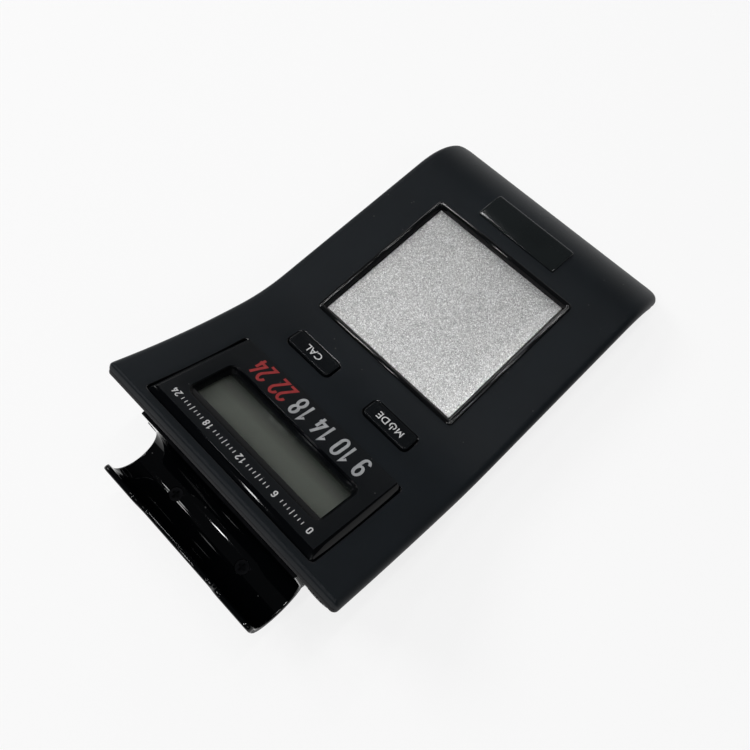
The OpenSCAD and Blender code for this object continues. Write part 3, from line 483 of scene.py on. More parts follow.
def addDrum(bm, x, y, radius, ends, count, place):
    turns = [2 * math.pi * k / count for k in range(count)]
    rings = []
    for h in ends:
        spots = [(x + radius * math.cos(a), y + radius * math.sin(a)) for a in turns]
        rings.append([bm.verts.new(place(*p, h)) for p in spots])
    bridge(bm, rings[0], rings[1])
    for ring in rings:
        bm.faces.new(ring)


def insidePolygon(points, polygon):
    poly = np.array(polygon, float)
    x, y = points[:, 0:1], points[:, 1:2]
    x1, y1 = poly[:, 0], poly[:, 1]
    x2, y2 = np.roll(x1, -1), np.roll(y1, -1)
    rise = np.where(y2 == y1, 1e-12, y2 - y1)
    crosses = ((y1 > y) != (y2 > y)) & (x < (x2 - x1) * (y - y1) / rise + x1)
    return crosses.sum(1) % 2 == 1


def fillBetween(bm, outer, holes, place, grid=3.0, material=0):
    loops = [outer] + list(holes)
    flat, owner, edges = [], [], []
    for ring, points in loops:
        start = len(flat)
        for k, (vert, p) in enumerate(zip(ring, points)):
            flat.append((p[0], p[1]))
            owner.append(vert)
            edges.append((start + k, start + (k + 1) % len(ring)))
    border = np.array(flat)
    if grid:
        xs = np.arange(border[:, 0].min() + grid * 0.7, border[:, 0].max(), grid)
        ys = np.arange(border[:, 1].min() + grid * 0.7, border[:, 1].max(), grid)
        mesh = np.array([(x, y) for y in ys for x in xs])
        keep = insidePolygon(mesh, [(p[0], p[1]) for p in outer[1]])
        for ring, points in holes:
            keep &= ~insidePolygon(mesh, [(p[0], p[1]) for p in points])
        mesh = mesh[keep]
        far = np.array([np.hypot(*(border - p).T).min() > grid * 0.45 for p in mesh], bool)
        for p in mesh[far]:
            flat.append((float(p[0]), float(p[1])))
            owner.append(bm.verts.new(place(p[0], p[1])))
    made, _, faces, origin, _, _ = delaunay_2d_cdt([Vector(p) for p in flat], edges, [], 0, 1e-6)
    centres = np.array([[sum(made[i][k] for i in f) / len(f) for k in (0, 1)] for f in faces])
    keep = insidePolygon(centres, [(p[0], p[1]) for p in outer[1]])
    for ring, points in holes:
        keep &= ~insidePolygon(centres, [(p[0], p[1]) for p in points])
    for face, good in zip(faces, keep):
        if good:
            corners = [owner[origin[i][0]] for i in face if origin[i]]
            if len(set(corners)) > 2:
                bm.faces.new(corners).material_index = material


# the deck's profile from nose to rim: a roll, a flat, a tight rise and a long gentle one
deck = {"width": 103.2, "z": 21.1, "flatFront": 40.8, "flatBack": 31.4, "noseR": 32.4, "noseA": 61.0,
        "riseR": 56.4, "slopeR": 263.4, "riseSin": 0.352, "riseCos": 0.936, "rimA": 32.5, "coverT": 3.0,
        "trayT": 2.1}
riseA = math.asin(deck["riseSin"])
noseArc = deck["noseR"] * math.radians(deck["noseA"])
flatEnd = noseArc + deck["flatFront"] + deck["flatBack"]
riseEnd = flatEnd + deck["riseR"] * riseA
deckEnd = riseEnd + deck["slopeR"] * (math.radians(deck["rimA"]) - riseA)
riseCentre = (deck["flatBack"], deck["z"] + deck["riseR"])
slopeCentre = (riseCentre[0] - (deck["slopeR"] - deck["riseR"]) * deck["riseSin"],
               riseCentre[1] + (deck["slopeR"] - deck["riseR"]) * deck["riseCos"])


def deckFrame(s):
    flat, z, noseR = deck["flatFront"], deck["z"], deck["noseR"]
    if s < noseArc:
        a = math.radians(deck["noseA"]) - s / noseR
        return (-flat - noseR * math.sin(a), z - noseR * (1 - math.cos(a)), a)
    if s < flatEnd:
        return (s - noseArc - flat, z, 0.0)
    if s < riseEnd:
        centre, radius, a = riseCentre, deck["riseR"], (s - flatEnd) / deck["riseR"]
    else:
        centre, radius, a = slopeCentre, deck["slopeR"], riseA + (s - riseEnd) / deck["slopeR"]
    return (centre[0] + radius * math.sin(a), centre[1] - radius * math.cos(a), a)


def onDeck(x, s, depth=0.0):
    y, z, a = deckFrame(s)
    return world(x, y + depth * math.sin(a), z - depth * math.cos(a))


def alongAt(y):
    low, high = 0.0, deckEnd
    for _ in range(50):
        mid = (low + high) / 2
        if deckFrame(mid)[0] < y:
            low = mid
        else:
            high = mid
    return (low + high) / 2


def tangentFrame(y):
    yy, z, a = deckFrame(alongAt(y))

    def place(x, v, h):
        return world(x, yy + v * math.cos(a) - h * math.sin(a), z + v * math.sin(a) + h * math.cos(a))
    return place


# the cover's openings follow the pieces that sit in them
cover = {"edgeR": 2.8, "rimR": 1.1, "noseR": 2.0, "noseCorner": 11.0, "rimCorner": 2.0, "grid": 3.2,
         "cornerSteps": 10, "acrossSteps": 26, "alongSteps": 64, "underside": 2.95, "openingR": 1.6,
         "openingGap": 0.2, "plateSoft": 0.15, "keySoft": 0.45, "padSoft": 0.3}
keys = {"y": 46.9, "x": 18.6, "width": 19.6, "length": 7.2, "corner": 1.5, "gap": 0.3, "proud": 0.9,
        "edge": 0.4, "skirt": 2.9}
pad = {"y": 79.26, "width": 74.4, "length": 41.0, "high": 2.2, "seat": 1.3, "bevel": 2.1, "frontBevel": 0.5,
       "corner": 1.0, "gap": 0.2, "windowW": 59.2, "windowFront": 8.1, "windowRear": 11.3,
       "windowCorner": 2.8, "windowSoft": 0.35, "step": 1.6, "ledgeRear": 3.0, "ledgeEnd": 0.9,
       "ledgeFront": 0.4, "swell": 0.14}
surround = {"plateZ": 20.0, "drop": 1.8, "outer": 65.2, "sleeve": 64.1, "well": 60.4, "floorZ": 17.4,
            "ledge": 27.0, "ledgeZ": 18.8, "ridgeW": 0.75, "ridgeH": 0.7, "ridgeTop": 0.14, "lipW": 1.05,
            "lipH": 0.9, "cornerMin": 0.55, "cornerMax": 1.9, "cornerFall": 1.2}


def deckOutline(insets):
    corners = (cover["noseCorner"], cover["rimCorner"])
    steps = (cover["cornerSteps"], cover["acrossSteps"], cover["alongSteps"])
    return roundOutline(deck["width"] / 2, 0, deckEnd, corners, insets, *steps)


def edgeRing(bm, turn):
    edgeR, rimR, noseR = cover["edgeR"], cover["rimR"], cover["noseR"]
    c, s = 1 - math.cos(turn), 1 - math.sin(turn)
    points = deckOutline((edgeR * c, noseR * c, rimR * c))
    ring = []
    for x, along, side, rear in points:
        radius = edgeR * side + (rimR if rear else noseR) * (1 - side)
        ring.append(bm.verts.new(onDeck(x, along, radius * s)))
    return ring, points


def makeCover():
    v = cover
    bm = bmesh.new()
    rings = [edgeRing(bm, math.radians(90 * k / 8)) for k in range(9)]
    low = layRing(bm, deckOutline((0, 0, 0)), onDeck, v["underside"])
    bridge(bm, low[0], rings[0][0])
    bridgeRings(bm, rings)
    # the openings: middle, half width, half length, corner, softened edge, points per side
    half = surround["sleeve"] / 2 + v["openingGap"]
    specs = [(0, alongAt(0), half, half, v["openingR"], v["plateSoft"], 10)]
    for side in (-1, 1):
        specs.append((side * keys["x"], alongAt(keys["y"]), keys["width"] / 2 + keys["gap"],
                      keys["length"] / 2 + keys["gap"], keys["corner"] + keys["gap"], v["keySoft"], 4))
    specs.append((0, alongAt(pad["y"]), pad["width"] / 2 + pad["gap"], pad["length"] / 2 + pad["gap"],
                  pad["corner"] + pad["gap"], v["padSoft"], 14))
    holes, walls = [], []
    for x, along, halfX, halfY, radius, soft, count in specs:
        edge = []
        for grow, depth in roundSteps(soft, 4):
            outline = roundOutline(halfX + grow, along - halfY - grow, along + halfY + grow,
                                   (radius + grow,) * 2, (0, 0, 0), 6, count, count)
            points = [(x + p[0], p[1]) for p in outline]
            edge.append(layRing(bm, points, onDeck, depth))
        wall = layRing(bm, points, onDeck, v["underside"])
        bridgeRings(bm, edge + [wall], 1)
        holes.append(edge[0])
        walls.append(wall)
    fillBetween(bm, rings[-1], holes, onDeck, v["grid"])
    fillBetween(bm, low, walls, lambda x, s: onDeck(x, s, v["underside"]), 6.0)
    finishPiece("deckCover", bm, ["softTouch", "edgeGloss"], replaced=["top_cover"])


makeCover()

tray = {"top": 3.08, "round": 0.5, "inset": 0.15, "holeW": 88.0, "holeFront": -56.0, "holeRear": 98.2,
        "holeCorner": 1.5}


def makeTray():
    v = tray
    bm = bmesh.new()
    bottom = deck["coverT"] + deck["trayT"]
    steps = roundSteps(v["round"], 4)
    levels = [(v["inset"] + side, v["top"] + down) for side, down in steps]
    levels += [(v["inset"] + down, bottom - side) for side, down in steps]
    rings = [layRing(bm, deckOutline((inset,) * 3), onDeck, depth) for inset, depth in levels]
    bridgeRings(bm, rings)
    front, rear = alongAt(v["holeFront"]), alongAt(v["holeRear"])
    hole = roundOutline(v["holeW"] / 2, front, rear, (v["holeCorner"],) * 2, (0, 0, 0), 3, 10, 50)
    inner = [layRing(bm, hole, onDeck, depth) for depth in (v["top"], bottom)]
    fillBetween(bm, rings[0], [inner[0]], lambda x, s: onDeck(x, s, v["top"]), 0)
    fillBetween(bm, rings[-1], [inner[1]], lambda x, s: onDeck(x, s, bottom), 0)
    bridgeRings(bm, inner)
    finishPiece("underTray", bm, ["moulded"], replaced=["under_tray"])


makeTray()


def squareRings(bm, levels, radiusOf):
    rings = []
    for half, z in levels:
        points = roundOutline(half, -half, half, (radiusOf(half),) * 2, (0, 0, 0), 6, 4, 4)
        rings.append(layRing(bm, points, world, z))
    return rings


def makeSurround():
    v = surround
    rim = v["plateZ"] + v["drop"]
    outer, well, deckZ = v["outer"] / 2, v["well"] / 2, deck["z"]
    levels = [(v["sleeve"] / 2, v["floorZ"]), (v["sleeve"] / 2, deckZ - 0.05), (outer, deckZ)]
    # a low rounded ridge, then the lip that falls to the plate
    for k in range(1, 8):
        a = math.radians(90 - 12 * k)
        levels.append((outer - v["ridgeW"] * (1 - math.sin(a)), rim - v["ridgeH"] * (1 - math.cos(a))))
    for k in range(5):
        t = k / 4
        levels.append((outer - v["ridgeW"] - v["ridgeTop"] * t, rim - 0.003 * (2 * t - 1) ** 2))
    inside = outer - v["ridgeW"] - v["ridgeTop"]
    for k in range(1, 7):
        a = math.radians(12 * k)
        levels.append((inside - v["lipW"] * math.sin(a), rim - v["lipH"] * (1 - math.cos(a))))
    levels += [(well + 0.12, v["plateZ"] + 0.2), (well, v["plateZ"]), (well, v["ledgeZ"]),
               (v["ledge"], v["ledgeZ"]), (v["ledge"], v["floorZ"])]

    def cornerAt(half):
        return max(v["cornerMin"], v["cornerMax"] - v["cornerFall"] * (outer - half))
    bm = bmesh.new()
    rings = squareRings(bm, levels, cornerAt)
    bridgeRings(bm, rings + rings[:1])
    finishPiece("plateSurround", bm, ["edgeGloss"], replaced=["plate_surround"], sharp=50)


makeSurround()

plate = {"half": 30.0, "top": surround["plateZ"], "bottom": 18.8, "edge": 0.22, "corner": 0.5, "grid": 6.0}


def makePlate():
    v = plate
    bm = bmesh.new()
    levels = [(v["half"], v["bottom"])]
    for side, down in roundSteps(v["edge"], 4):
        levels.append((v["half"] - down, v["top"] - side))
    rings = squareRings(bm, levels, lambda half: v["corner"])
    bridgeRings(bm, rings)
    fillBetween(bm, rings[-1], [], lambda x, y: world(x, y, v["top"]), v["grid"])
    fillBetween(bm, rings[0], [], lambda x, y: world(x, y, v["bottom"]), 0)
    finishPiece("testPlate", bm, ["plate"], replaced=["test_plate"])


makePlate()


def makePad():
    v = pad
    place = tangentFrame(v["y"])
    bm = bmesh.new()
    half, low, high = v["width"] / 2, -v["length"] / 2, v["length"] / 2

    def outerRing(share, h, extra=0.0):
        insets = [v[key] * share + extra for key in ("bevel", "frontBevel", "bevel")]
        points = roundOutline(half, low, high, (v["corner"],) * 2, insets, 6, 12, 8)
        return layRing(bm, points, place, h)
    start = 0.1
    rings = [outerRing(0, -v["seat"]), outerRing(0, -0.3), outerRing(0, start)]
    for k in range(1, 11):
        t = k / 10.5
        bulge = v["swell"] * 4 * t * (1 - t)
        rings.append(outerRing(t - bulge / v["bevel"] * 0.5, start + (v["high"] - start) * t + bulge * 0.5))
    # a small round between the bevel and the top
    for share, h, extra in ((0.985, 0.985, 0.02), (1.0, 0.997, 0.12), (1.0, 1.0, 0.3)):
        rings.append(outerRing(share, v["high"] * h, extra))
    bridgeRings(bm, rings[:3])
    bridgeRings(bm, rings[2:15], 1)
    bridgeRings(bm, rings[14:])
    # the window's edge, wall and ledge, as insets from its opening and heights
    soft, floor = v["windowSoft"], v["high"] - v["step"]
    ledge = (v["ledgeEnd"], v["ledgeFront"], v["ledgeRear"])
    steps = [((-side,) * 3, v["high"] - down) for side, down in roundSteps(soft, 4)]
    steps += [((0.05,) * 3, floor + 0.75), ((0.22, 0.16, 0.45), floor + 0.62),
              ((0.26, 0.18, 0.55), floor + 0.12), ([0.92 * x for x in ledge], floor),
              (ledge, floor - 0.12), (ledge, -v["seat"])]
    inner = []
    for insets, h in steps:
        points = roundOutline(v["windowW"] / 2, -v["windowFront"], v["windowRear"], (v["windowCorner"],) * 2,
                              insets, 6, 10, 6)
        inner.append(layRing(bm, points, place, h))
    bridgeRings(bm, inner, 1)
    fillBetween(bm, rings[-1], [inner[0]], lambda x, y: place(x, y, v["high"]), 5.0)
    fillBetween(bm, rings[0], [inner[-1]], lambda x, y: place(x, y, -v["seat"]), 0)
    finishPiece("displayPad", bm, ["padMatt", "padGloss"], replaced=["display_bezel"], sharp=45)


makePad()

# under the deck each key has a flange and a stem
keyFoot = {"flange": -1.0, "flangeTop": -2.95, "flangeZ": -4.1, "innerX": 3.4, "innerY": 1.6,
           "stemR": 2.0, "stemTop": -4.05, "stemZ": -5.7}


def makeKey(name, side, body, node):
    v, foot = keys, keyFoot
    place = tangentFrame(v["y"])
    bm = bmesh.new()
    middle, half, length = side * v["x"], v["width"] / 2, v["length"] / 2

    def keyRing(inset, h, corner, insetY):
        outline = roundOutline(half, -length, length, (corner,) * 2, (inset, insetY, insetY), 8, 8, 3)
        return layRing(bm, [(middle + p[0], p[1]) for p in outline], place, h)
    edge, top = v["edge"], v["proud"]
    levels = [(0, -v["skirt"])] + [(down, top - inward) for inward, down in roundSteps(edge, 5)]
    levels += [(edge + 0.5, top - 0.02), (edge + 1.3, top - 0.06)]  # a slight dish
    rings = [keyRing(inset, h, v["corner"], inset) for inset, h in levels]
    bridgeRings(bm, rings)
    fillBetween(bm, rings[-1], [], lambda x, y: place(x, y, top - 0.07), 1.5)
    under = [rings[0]]
    for inset, insetY, h in ((foot["flange"], foot["flange"], foot["flangeTop"]),
                             (foot["flange"], foot["flange"], foot["flangeZ"]),
                             (foot["innerX"], foot["innerY"], foot["flangeZ"])):
        under.append(keyRing(inset, h, v["corner"] + 1.0, insetY))
    bridgeRings(bm, under)
    bm.faces.new(under[-1][0])
    addDrum(bm, middle, 0, foot["stemR"], (foot["stemTop"], foot["stemZ"]), 24, place)
    finishPiece(name, bm, ["keyMatt"], body=body, replaced=[node])


makeKey("calKey", 1, "cal_key", "cal_button")
makeKey("modeKey", -1, "mode_key", "mode_button")

inkHeight = 0.02


def printWord(word, size, bold, place, centre, h):
    curve = bpy.data.curves.new("print", "FONT")
    curve.body = word
    curve.size = size
    curve.offset = bold
    curve.align_x = "CENTER"
    curve.align_y = "CENTER"
    curve.resolution_u = 4
    obj = addObject("print", curve)
    bpy.context.view_layer.update()
    bm = bmesh.new()
    bm.from_mesh(obj.to_mesh())
    obj.to_mesh_clear()
    bpy.data.objects.remove(obj)
    bpy.data.curves.remove(curve)
    raised = bmesh.ops.extrude_face_region(bm, geom=list(bm.faces))["geom"]
    for v in [g for g in raised if isinstance(g, bmesh.types.BMVert)]:
        v.co.z += inkHeight
    for v in bm.verts:
        v.co = place(centre[0] + v.co.x, centre[1] + v.co.y, h + v.co.z)
    return bm


def joinInto(target, source):
    mesh = bpy.data.meshes.new("part")
    source.to_mesh(mesh)
    source.free()
    target.from_mesh(mesh)
    bpy.data.meshes.remove(mesh)


def arcPath(cx, cy, rx, ry, start, end, steps=14):
    turns = [math.radians(start + (end - start) * k / steps) for k in range(steps + 1)]
    return [(cx + rx * math.cos(a), cy + ry * math.sin(a)) for a in turns]


# numerals drawn by their middle lines, in a box 1 wide and 2 high
glyphs = {
    "0": [arcPath(0.5, 1.5, 0.5, 0.5, 180, 0) + arcPath(0.5, 0.5, 0.5, 0.5, 0, -180) + [(0, 1.5)]],
    "1": [[(0.1, 1.5), (0.6, 2.0), (0.6, 0.0)]],
    "2": [arcPath(0.5, 1.5, 0.5, 0.5, 175, -32) + [(0.0, 0.0), (1.05, 0.0)]],
    "4": [[(1.15, 0.45), (-0.08, 0.45), (0.66, 2.0)], [(0.8, 1.2), (0.8, 0.0)]],
    "6": [arcPath(0.5, 1.5, 0.5, 0.5, 20, 180) + [(0.0, 0.55)],
          arcPath(0.5, 0.55, 0.5, 0.55, 0, 360, 24)],
    "8": [arcPath(0.5, 1.53, 0.46, 0.47, 0, 360, 24), arcPath(0.5, 0.53, 0.5, 0.53, 0, 360, 24)],
    "9": [arcPath(0.5, 1.45, 0.5, 0.55, 0, 360, 24), [(1.0, 1.45)] + arcPath(0.5, 0.5, 0.5, 0.5, 0, -160)],
    "M": [[(0.0, 0.0), (0.0, 2.0), (0.75, 0.55), (1.5, 2.0), (1.5, 0.0)]],
}


def addStroke(bm, path, width, place, h, thick=inkHeight):
    spots = [Vector(p) for p in path]
    closed = (spots[0] - spots[-1]).length < 1e-6
    if closed:
        spots.pop()
    count = len(spots)
    sides = []
    for i, p in enumerate(spots):
        before = spots[i - 1] if i or closed else None
        after = spots[(i + 1) % count] if i < count - 1 or closed else None
        first = (p - before).normalized() if before is not None else (after - p).normalized()
        second = (after - p).normalized() if after is not None else first
        out = Vector((-first.y - second.y, first.x + second.x))
        out = out.normalized() if out.length > 1e-6 else Vector((-first.y, first.x))
        stretch = min(1 / max(out.dot(Vector((-first.y, first.x))), 0.35), 2.2)
        reach = out * stretch * width / 2
        sides.append([bm.verts.new(place(p.x + k * reach.x, p.y + k * reach.y, z))
                      for k, z in ((-1, h), (1, h), (1, h + thick), (-1, h + thick))])
    pairs = list(zip(sides, sides[1:])) + ([(sides[-1], sides[0])] if closed else [])
    for a, b in pairs:
        bridge(bm, a, b)
    if not closed:
        bm.faces.new(sides[0])
        bm.faces.new(sides[-1])


def addNumber(bm, word, v, place, centre, h):
    step = v["wide"] + v["gap"]
    x = centre[0] - (step * len(word) - v["gap"]) / 2
    for sign in word:
        for layer, path in enumerate(glyphs[sign]):
            scaled = [(x + px * v["wide"], centre[1] + (py / 2 - 0.5) * v["tall"]) for px, py in path]
            addStroke(bm, scaled, v["weight"], place, h, inkHeight - 0.003 * layer)
        x += step


def addBar(bm, place, low, high, h):
    corners = ((low[0], low[1]), (high[0], low[1]), (high[0], high[1]), (low[0], high[1]))
    ends = [[bm.verts.new(place(x, y, z)) for x, y in corners] for z in (h, h + inkHeight)]
    bridge(bm, ends[0], ends[1])
    for end in ends:
        bm.faces.new(end)


legends = {
    "size": 4.0, "bold": 0.022, "sink": 0.075,
    "first": {"wide": 1.45, "tall": 2.3, "weight": 0.46, "gap": 0}, "firstX": -4.55, "lastX": 3.3,
    "signX": -1.0, "signY": -0.15, "signR": 1.1, "signTurn": (128, 412), "signWeight": 0.42,
    "barW": 0.4, "barY": (-0.1, 1.75),
}


def makeLegends():
    v = legends
    h = keys["proud"] - v["sink"]
    place = tangentFrame(keys["y"])
    bm = printWord("CAL", v["size"], v["bold"], place, (keys["x"], 0), h)
    finishPiece("calLegend", bm, ["printWhite"], body="cal_key", sharp=30)
    bm = bmesh.new()
    middle = -keys["x"]
    addNumber(bm, "M", v["first"], place, (middle + v["firstX"], 0), h)
    joinInto(bm, printWord("DE", v["size"], v["bold"], place, (middle + v["lastX"], 0), h))
    # the letter between them is drawn as the usual power sign
    x = middle + v["signX"]
    arc = arcPath(x, v["signY"], v["signR"], v["signR"], *v["signTurn"], 26)
    addStroke(bm, arc, v["signWeight"], place, h)
    addBar(bm, place, (x - v["barW"] / 2, v["barY"][0]), (x + v["barW"] / 2, v["barY"][1]), h)
    finishPiece("modeLegend", bm, ["printWhite"], body="mode_key", sharp=30)


makeLegends()


padPrint = {
    "high": 2.185, "y": -14.3, "digits": {"wide": 2.4, "tall": 7.8, "weight": 1.05, "gap": 1.3},
    "numbers": {"9": -24.3, "10": -16.45, "14": -6.75, "18": 2.95}, "red": {"22": 12.65, "24": 22.35},
}
scale = {"from": -30.0, "step": 1.5, "count": 40, "y": 14.9, "long": 2.2, "short": 1.3, "wide": 0.26,
         "digits": {"wide": 1.0, "tall": 2.2, "weight": 0.4, "gap": 0.75}}


def makePadPrint():
    v = padPrint
    place = tangentFrame(pad["y"])
    prints = (("padNumbers", "printSilver", v["numbers"]), ("padNumbersRed", "printRed", v["red"]))
    for name, mat, words in prints:
        bm = bmesh.new()
        for word, x in words.items():
            addNumber(bm, word, v["digits"], place, (x, v["y"]), v["high"])
        finishPiece(name, bm, [mat], sharp=30)
    # a plain scale along the window's rear edge, with a number at every tenth mark
    bm = bmesh.new()
    y, wide = scale["y"], scale["wide"] / 2
    for k in range(scale["count"] + 1):
        x = scale["from"] + k * scale["step"]
        if k % 10 == 0:
            addNumber(bm, str(6 * k // 10), scale["digits"], place, (x, y), v["high"])
        elif k % 10 not in (1, 9):
            long = (scale["short"] if k % 5 else scale["long"]) / 2
            addBar(bm, place, (x - wide, y - long), (x + wide, y + long), v["high"])
    finishPiece("padScale", bm, ["printWhite"], sharp=30)


makePadPrint()


label = {"half": 18.4, "from": -38.0, "length": 13.0, "corner": 0.9, "grid": 1.6,
         "profile": [(0, 0.0), (0, 0.42), (0.03, 0.56), (0.1, 0.68), (0.22, 0.77), (0.38, 0.82),
                     (0.56, 0.84), (0.8, 0.848), (1.4, 0.85)]}


def makeLabel():
    v = label
    rear = alongAt(v["from"])
    front = rear - v["length"]
    bm = bmesh.new()
    rings = []
    for inset, h in v["profile"]:
        points = roundOutline(v["half"], front, rear, (v["corner"],) * 2, (inset,) * 3, 6, 12, 8)
        rings.append(layRing(bm, points, onDeck, -h))
    bridgeRings(bm, rings)
    fillBetween(bm, rings[-1], [], lambda x, s: onDeck(x, s, -v["profile"][-1][1]), v["grid"])
    fillBetween(bm, rings[0], [], onDeck, 0)
    finishPiece("nameLabel", bm, ["labelGloss"], replaced=["name_label"], sharp=60)


makeLabel()


cradle = {"width": 71.2, "y": 112.32, "z": 22.9, "radius": 8.9, "wall": 2.0, "backTop": 15.8, "backMid": 6.0,
          "tab": 5.2, "lip": 1.2, "tabW": 14.0, "stepL": 7.0, "corner": 2.5, "soft": 0.42, "fine": 0.7,
          "coarse": 1.4, "screwX": 16.8, "holeR": 2.6, "holeZ": (-14, -4)}


def lipHeight(x):
    v = cradle
    x = abs(x)
    inner = v["width"] / 2 - v["tabW"]
    rise = v["tab"] - v["lip"]
    turn = (v["stepL"] ** 2 + rise ** 2) / (4 * rise)
    end = v["width"] / 2
    if x > end - v["corner"]:
        d = min(v["corner"], x - (end - v["corner"]))
        return v["tab"] - v["corner"] + math.sqrt(max(v["corner"] ** 2 - d * d, 0))
    if x >= inner:
        return v["tab"]
    if x >= inner - v["stepL"] / 2:
        return v["tab"] - turn + math.sqrt(turn ** 2 - (inner - x) ** 2)
    if x >= inner - v["stepL"]:
        return v["lip"] + turn - math.sqrt(turn ** 2 - (x - inner + v["stepL"]) ** 2)
    return v["lip"]


def cradleStations(v):
    half = v["width"] / 2
    stations = [-half + v["corner"] * (1 - math.cos(math.radians(12 * k))) for k in range(8)]
    stepEnd = half - v["tabW"]
    x = -half + v["corner"] + 1.0
    while x < 0:
        stations.append(x)
        x += v["fine"] if stepEnd - v["stepL"] - 1 < -x < stepEnd + 1 else v["coarse"]
    return stations + [0.0] + [-s for s in reversed(stations)]


def cradleSection(x):
    # back wall, round the trough, up the lip and over it, and back along the outside
    v = cradle
    near = min((v["width"] / 2 - abs(x)) / v["soft"], 1)
    shrink = v["soft"] * (1 - math.sqrt(max(1 - (1 - near) ** 2, 0)))
    ri, ro = v["radius"] + shrink, v["radius"] + v["wall"] - shrink
    lipR = (ro - ri) / 2
    top = lipHeight(x) - shrink * 0.3 - lipR
    row = [(-ri, v["backTop"] * (1 - k / 4)) for k in range(5)]
    row += arcPath(0, 0, ri, ri, 180, 360, 36)[1:-1]
    row += [(ri, top * k / 2) for k in range(3)]
    row += arcPath((ri + ro) / 2, top, lipR, lipR, 180, 0, 12)[1:-1]
    row += [(ro, top * (1 - k / 2)) for k in range(3)]
    row += arcPath(0, 0, ro, ro, 0, -180, 24)[1:]
    return row + [(-ro + 0.02, v["backMid"]), (-ro + 0.02, v["backTop"])]


def makeCradle():
    v = cradle
    bm = bmesh.new()
    rows = []
    for x in cradleStations(v):
        rows.append([bm.verts.new(world(x, v["y"] + p[0], v["z"] + p[1])) for p in cradleSection(x)])
    for a, b in zip(rows, rows[1:]):
        bridge(bm, a, b)
    for row in (rows[0], rows[-1]):
        bm.faces.new(row).material_index = 1
    obj = finishPiece("penCradle", bm, ["gloss", "moulded"], replaced=["pen_cradle"],
                      sharp=40)
    # the two screw wells in the floor
    cutter = bmesh.new()
    for side in (-1, 1):
        ends = [v["z"] + z for z in v["holeZ"]]
        addDrum(cutter, side * v["screwX"], v["y"], v["holeR"], ends, 40, world)
    bmesh.ops.recalc_face_normals(cutter, faces=cutter.faces)
    wells = bpy.data.meshes.new("wells")
    cutter.to_mesh(wells)
    cutter.free()
    tool = addObject("wells", wells)
    cut = obj.modifiers.new("wells", "BOOLEAN")
    cut.operation = "DIFFERENCE"
    cut.solver = "EXACT"
    cut.object = tool
    bpy.context.view_layer.update()
    obj.data = bpy.data.meshes.new_from_object(obj.evaluated_get(bpy.context.evaluated_depsgraph_get()))
    obj.data.name = "penCradle"
    obj.modifiers.clear()
    bpy.data.objects.remove(tool)
    bpy.data.meshes.remove(wells)


makeCradle()


# these stay as the CAD made them and get a finish
kept = {
    "moulded": ("lower_housing", "battery_door"),
    "gloss": ("cradle_screws", "probe_socket", "power_socket", "battery_snap"),
    "blackScrew": ("housing_screws",),
    "window": ("display_window",),
    "lcd": ("lcd_glass",),
    "lcdTin": ("lcd_frame",),
    "board": ("lcd_board", "key_board", "main_board"),
    "steel": ("lcd_screws", "key_board_screws", "main_board_screws", "socket_nut", "power_pin"),
    "springBrass": ("plate_contact",),
    "ivory": ("cal_plunger", "mode_plunger"),
    "chip": ("cal_switch", "mode_switch", "control_chips"),
    "batteryWrap": ("battery",),
    "rubber": ("rubber_feet",),
}
for mat, nodes in kept.items():
    for node in nodes:
        frame["nodes"][node].data.materials.clear()
        frame["nodes"][node].data.materials.append(finish[mat])
print("CAD pieces finished:", sum(len(nodes) for nodes in kept.values()))


# lamps in metres and watts: tubes are (from x, to x, y, power), sides are (place, size, power),
# and spotX and spotY are shares of the height
studio = {
    "tubes": [(-0.3, 0.366, 0.9, 4.9), (0.377, 0.494, 0.9, 0.9), (-0.4, 0.3, -0.18, 1.5)], "tubeWidth": 0.04,
    "high": 1.3, "spotX": (-0.04, 0.38), "spotY": (-0.6, -0.47, -0.34, -0.21, -0.08),
    "spotSize": (0.036, 0.07), "spotPower": 0.27,
    "sides": [((-1.25, 0.15, 1.2), (0.7, 0.7), 2.3), ((1.25, 0.35, 1.2), (0.7, 0.7), 11.0),
              ((1.1, -0.85, 0.66), (0.45, 0.45), 2.0), ((0.0, -2.0, 0.38), (2.4, 0.7), 3.4)],
    "aim": (0, 0, 0.02), "room": (0.028, 0.03, 0.033), "pale": (0.86, 0.86, 0.86), "mirrorShare": 0.05,
}
table = {"colour": (0.17, 0.17, 0.17), "tint": (0.1734, 0.1734, 0.1734), "glow": 0.818, "rough": 0.9,
         "specular": 0.1, "z": -0.00008, "lines": (-4.0, -1.0, 1.0, 4.0)}


def bouncedRay(tree, path):
    return mathNode(tree, "MAXIMUM", path.outputs["Is Glossy Ray"], path.outputs["Is Transmission Ray"])


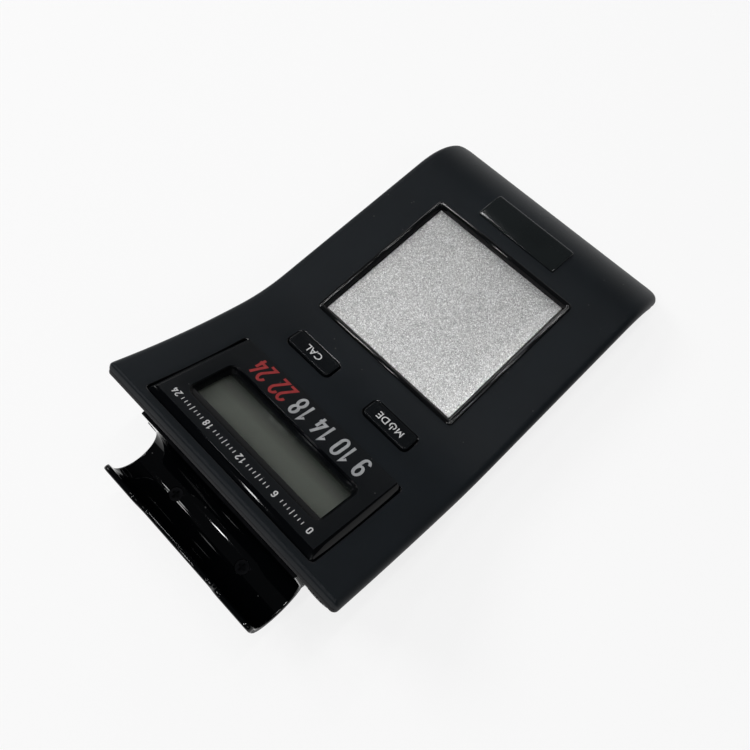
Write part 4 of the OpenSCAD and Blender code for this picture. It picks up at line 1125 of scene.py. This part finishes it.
def makeTable(values):
    bm = bmesh.new()
    lines = values["lines"]
    rows = [[bm.verts.new((x, y, values["z"])) for x in lines] for y in lines]
    for a, b in zip(rows, rows[1:]):
        bridge(bm, a, b, closed=False)
    mesh = bpy.data.meshes.new("tableTop")
    bm.to_mesh(mesh)
    bm.free()
    mat = bpy.data.materials.new("paleTable")
    mat.use_nodes = True
    tree = mat.node_tree
    shader = tree.nodes["Principled BSDF"]
    grain = placeGroup(tree, "grain", Scale=900, Cloud_Scale=3, Pit=0.1)
    colour = mixColour(tree, grain.outputs["Cloud"], values["colour"], values["tint"])
    tree.links.new(colour, shader.inputs["Base Color"])
    shader.inputs["Roughness"].default_value = values["rough"]
    shader.inputs["Specular IOR Level"].default_value = values["specular"]
    path = tree.nodes.new("ShaderNodeLightPath")
    seen = mathNode(tree, "MAXIMUM", path.outputs["Is Camera Ray"], bouncedRay(tree, path))
    glow = tree.nodes.new("ShaderNodeEmission")
    tree.links.new(mathNode(tree, "MULTIPLY", seen, values["glow"]), glow.inputs["Strength"])
    add = tree.nodes.new("ShaderNodeAddShader")
    tree.links.new(shader.outputs[0], add.inputs[0])
    tree.links.new(glow.outputs[0], add.inputs[1])
    tree.links.new(add.outputs[0], tree.nodes["Material Output"].inputs["Surface"])
    mesh.materials.append(mat)
    obj = addObject("tableTop", mesh)


def addPanel(name, place, size, power, aim):
    data = bpy.data.lights.new(name, "AREA")
    data.shape = "RECTANGLE"
    data.size, data.size_y = size
    data.energy = power
    obj = addObject(name, data)
    obj.location = place
    obj.rotation_euler = (Vector(aim) - Vector(place)).to_track_quat("-Z", "Y").to_euler()


def makeLamps(v):
    high = v["high"]
    for i, (low, far, y, power) in enumerate(v["tubes"]):
        addPanel("tube%d" % i, ((low + far) / 2, y, high), (far - low, v["tubeWidth"]), power, (0, y, 0))
    for i, x in enumerate(v["spotX"]):
        for k, y in enumerate(v["spotY"]):
            addPanel("spot%d%d" % (i, k), (x * high, y * high, high), v["spotSize"], v["spotPower"], v["aim"])
    for i, (place, size, power) in enumerate(v["sides"]):
        addPanel("side%d" % i, place, size, power, v["aim"])


def makeRoom(values):
    room = bpy.data.worlds.new("room")
    bpy.context.scene.world = room
    room.use_nodes = True
    tree = room.node_tree
    # the camera sees a pale room; gloss and clear pieces take only a share of it
    path = tree.nodes.new("ShaderNodeLightPath")
    bounced = mathNode(tree, "MULTIPLY", bouncedRay(tree, path), values["mirrorShare"])
    share = mathNode(tree, "MAXIMUM", path.outputs["Is Camera Ray"], bounced)
    colour = mixColour(tree, share, values["room"], values["pale"])
    tree.links.new(colour, tree.nodes["Background"].inputs["Color"])


makeTable(table)
makeLamps(studio)
makeRoom(studio)
bpy.context.scene.view_settings.view_transform = "Standard"
print("studio set")
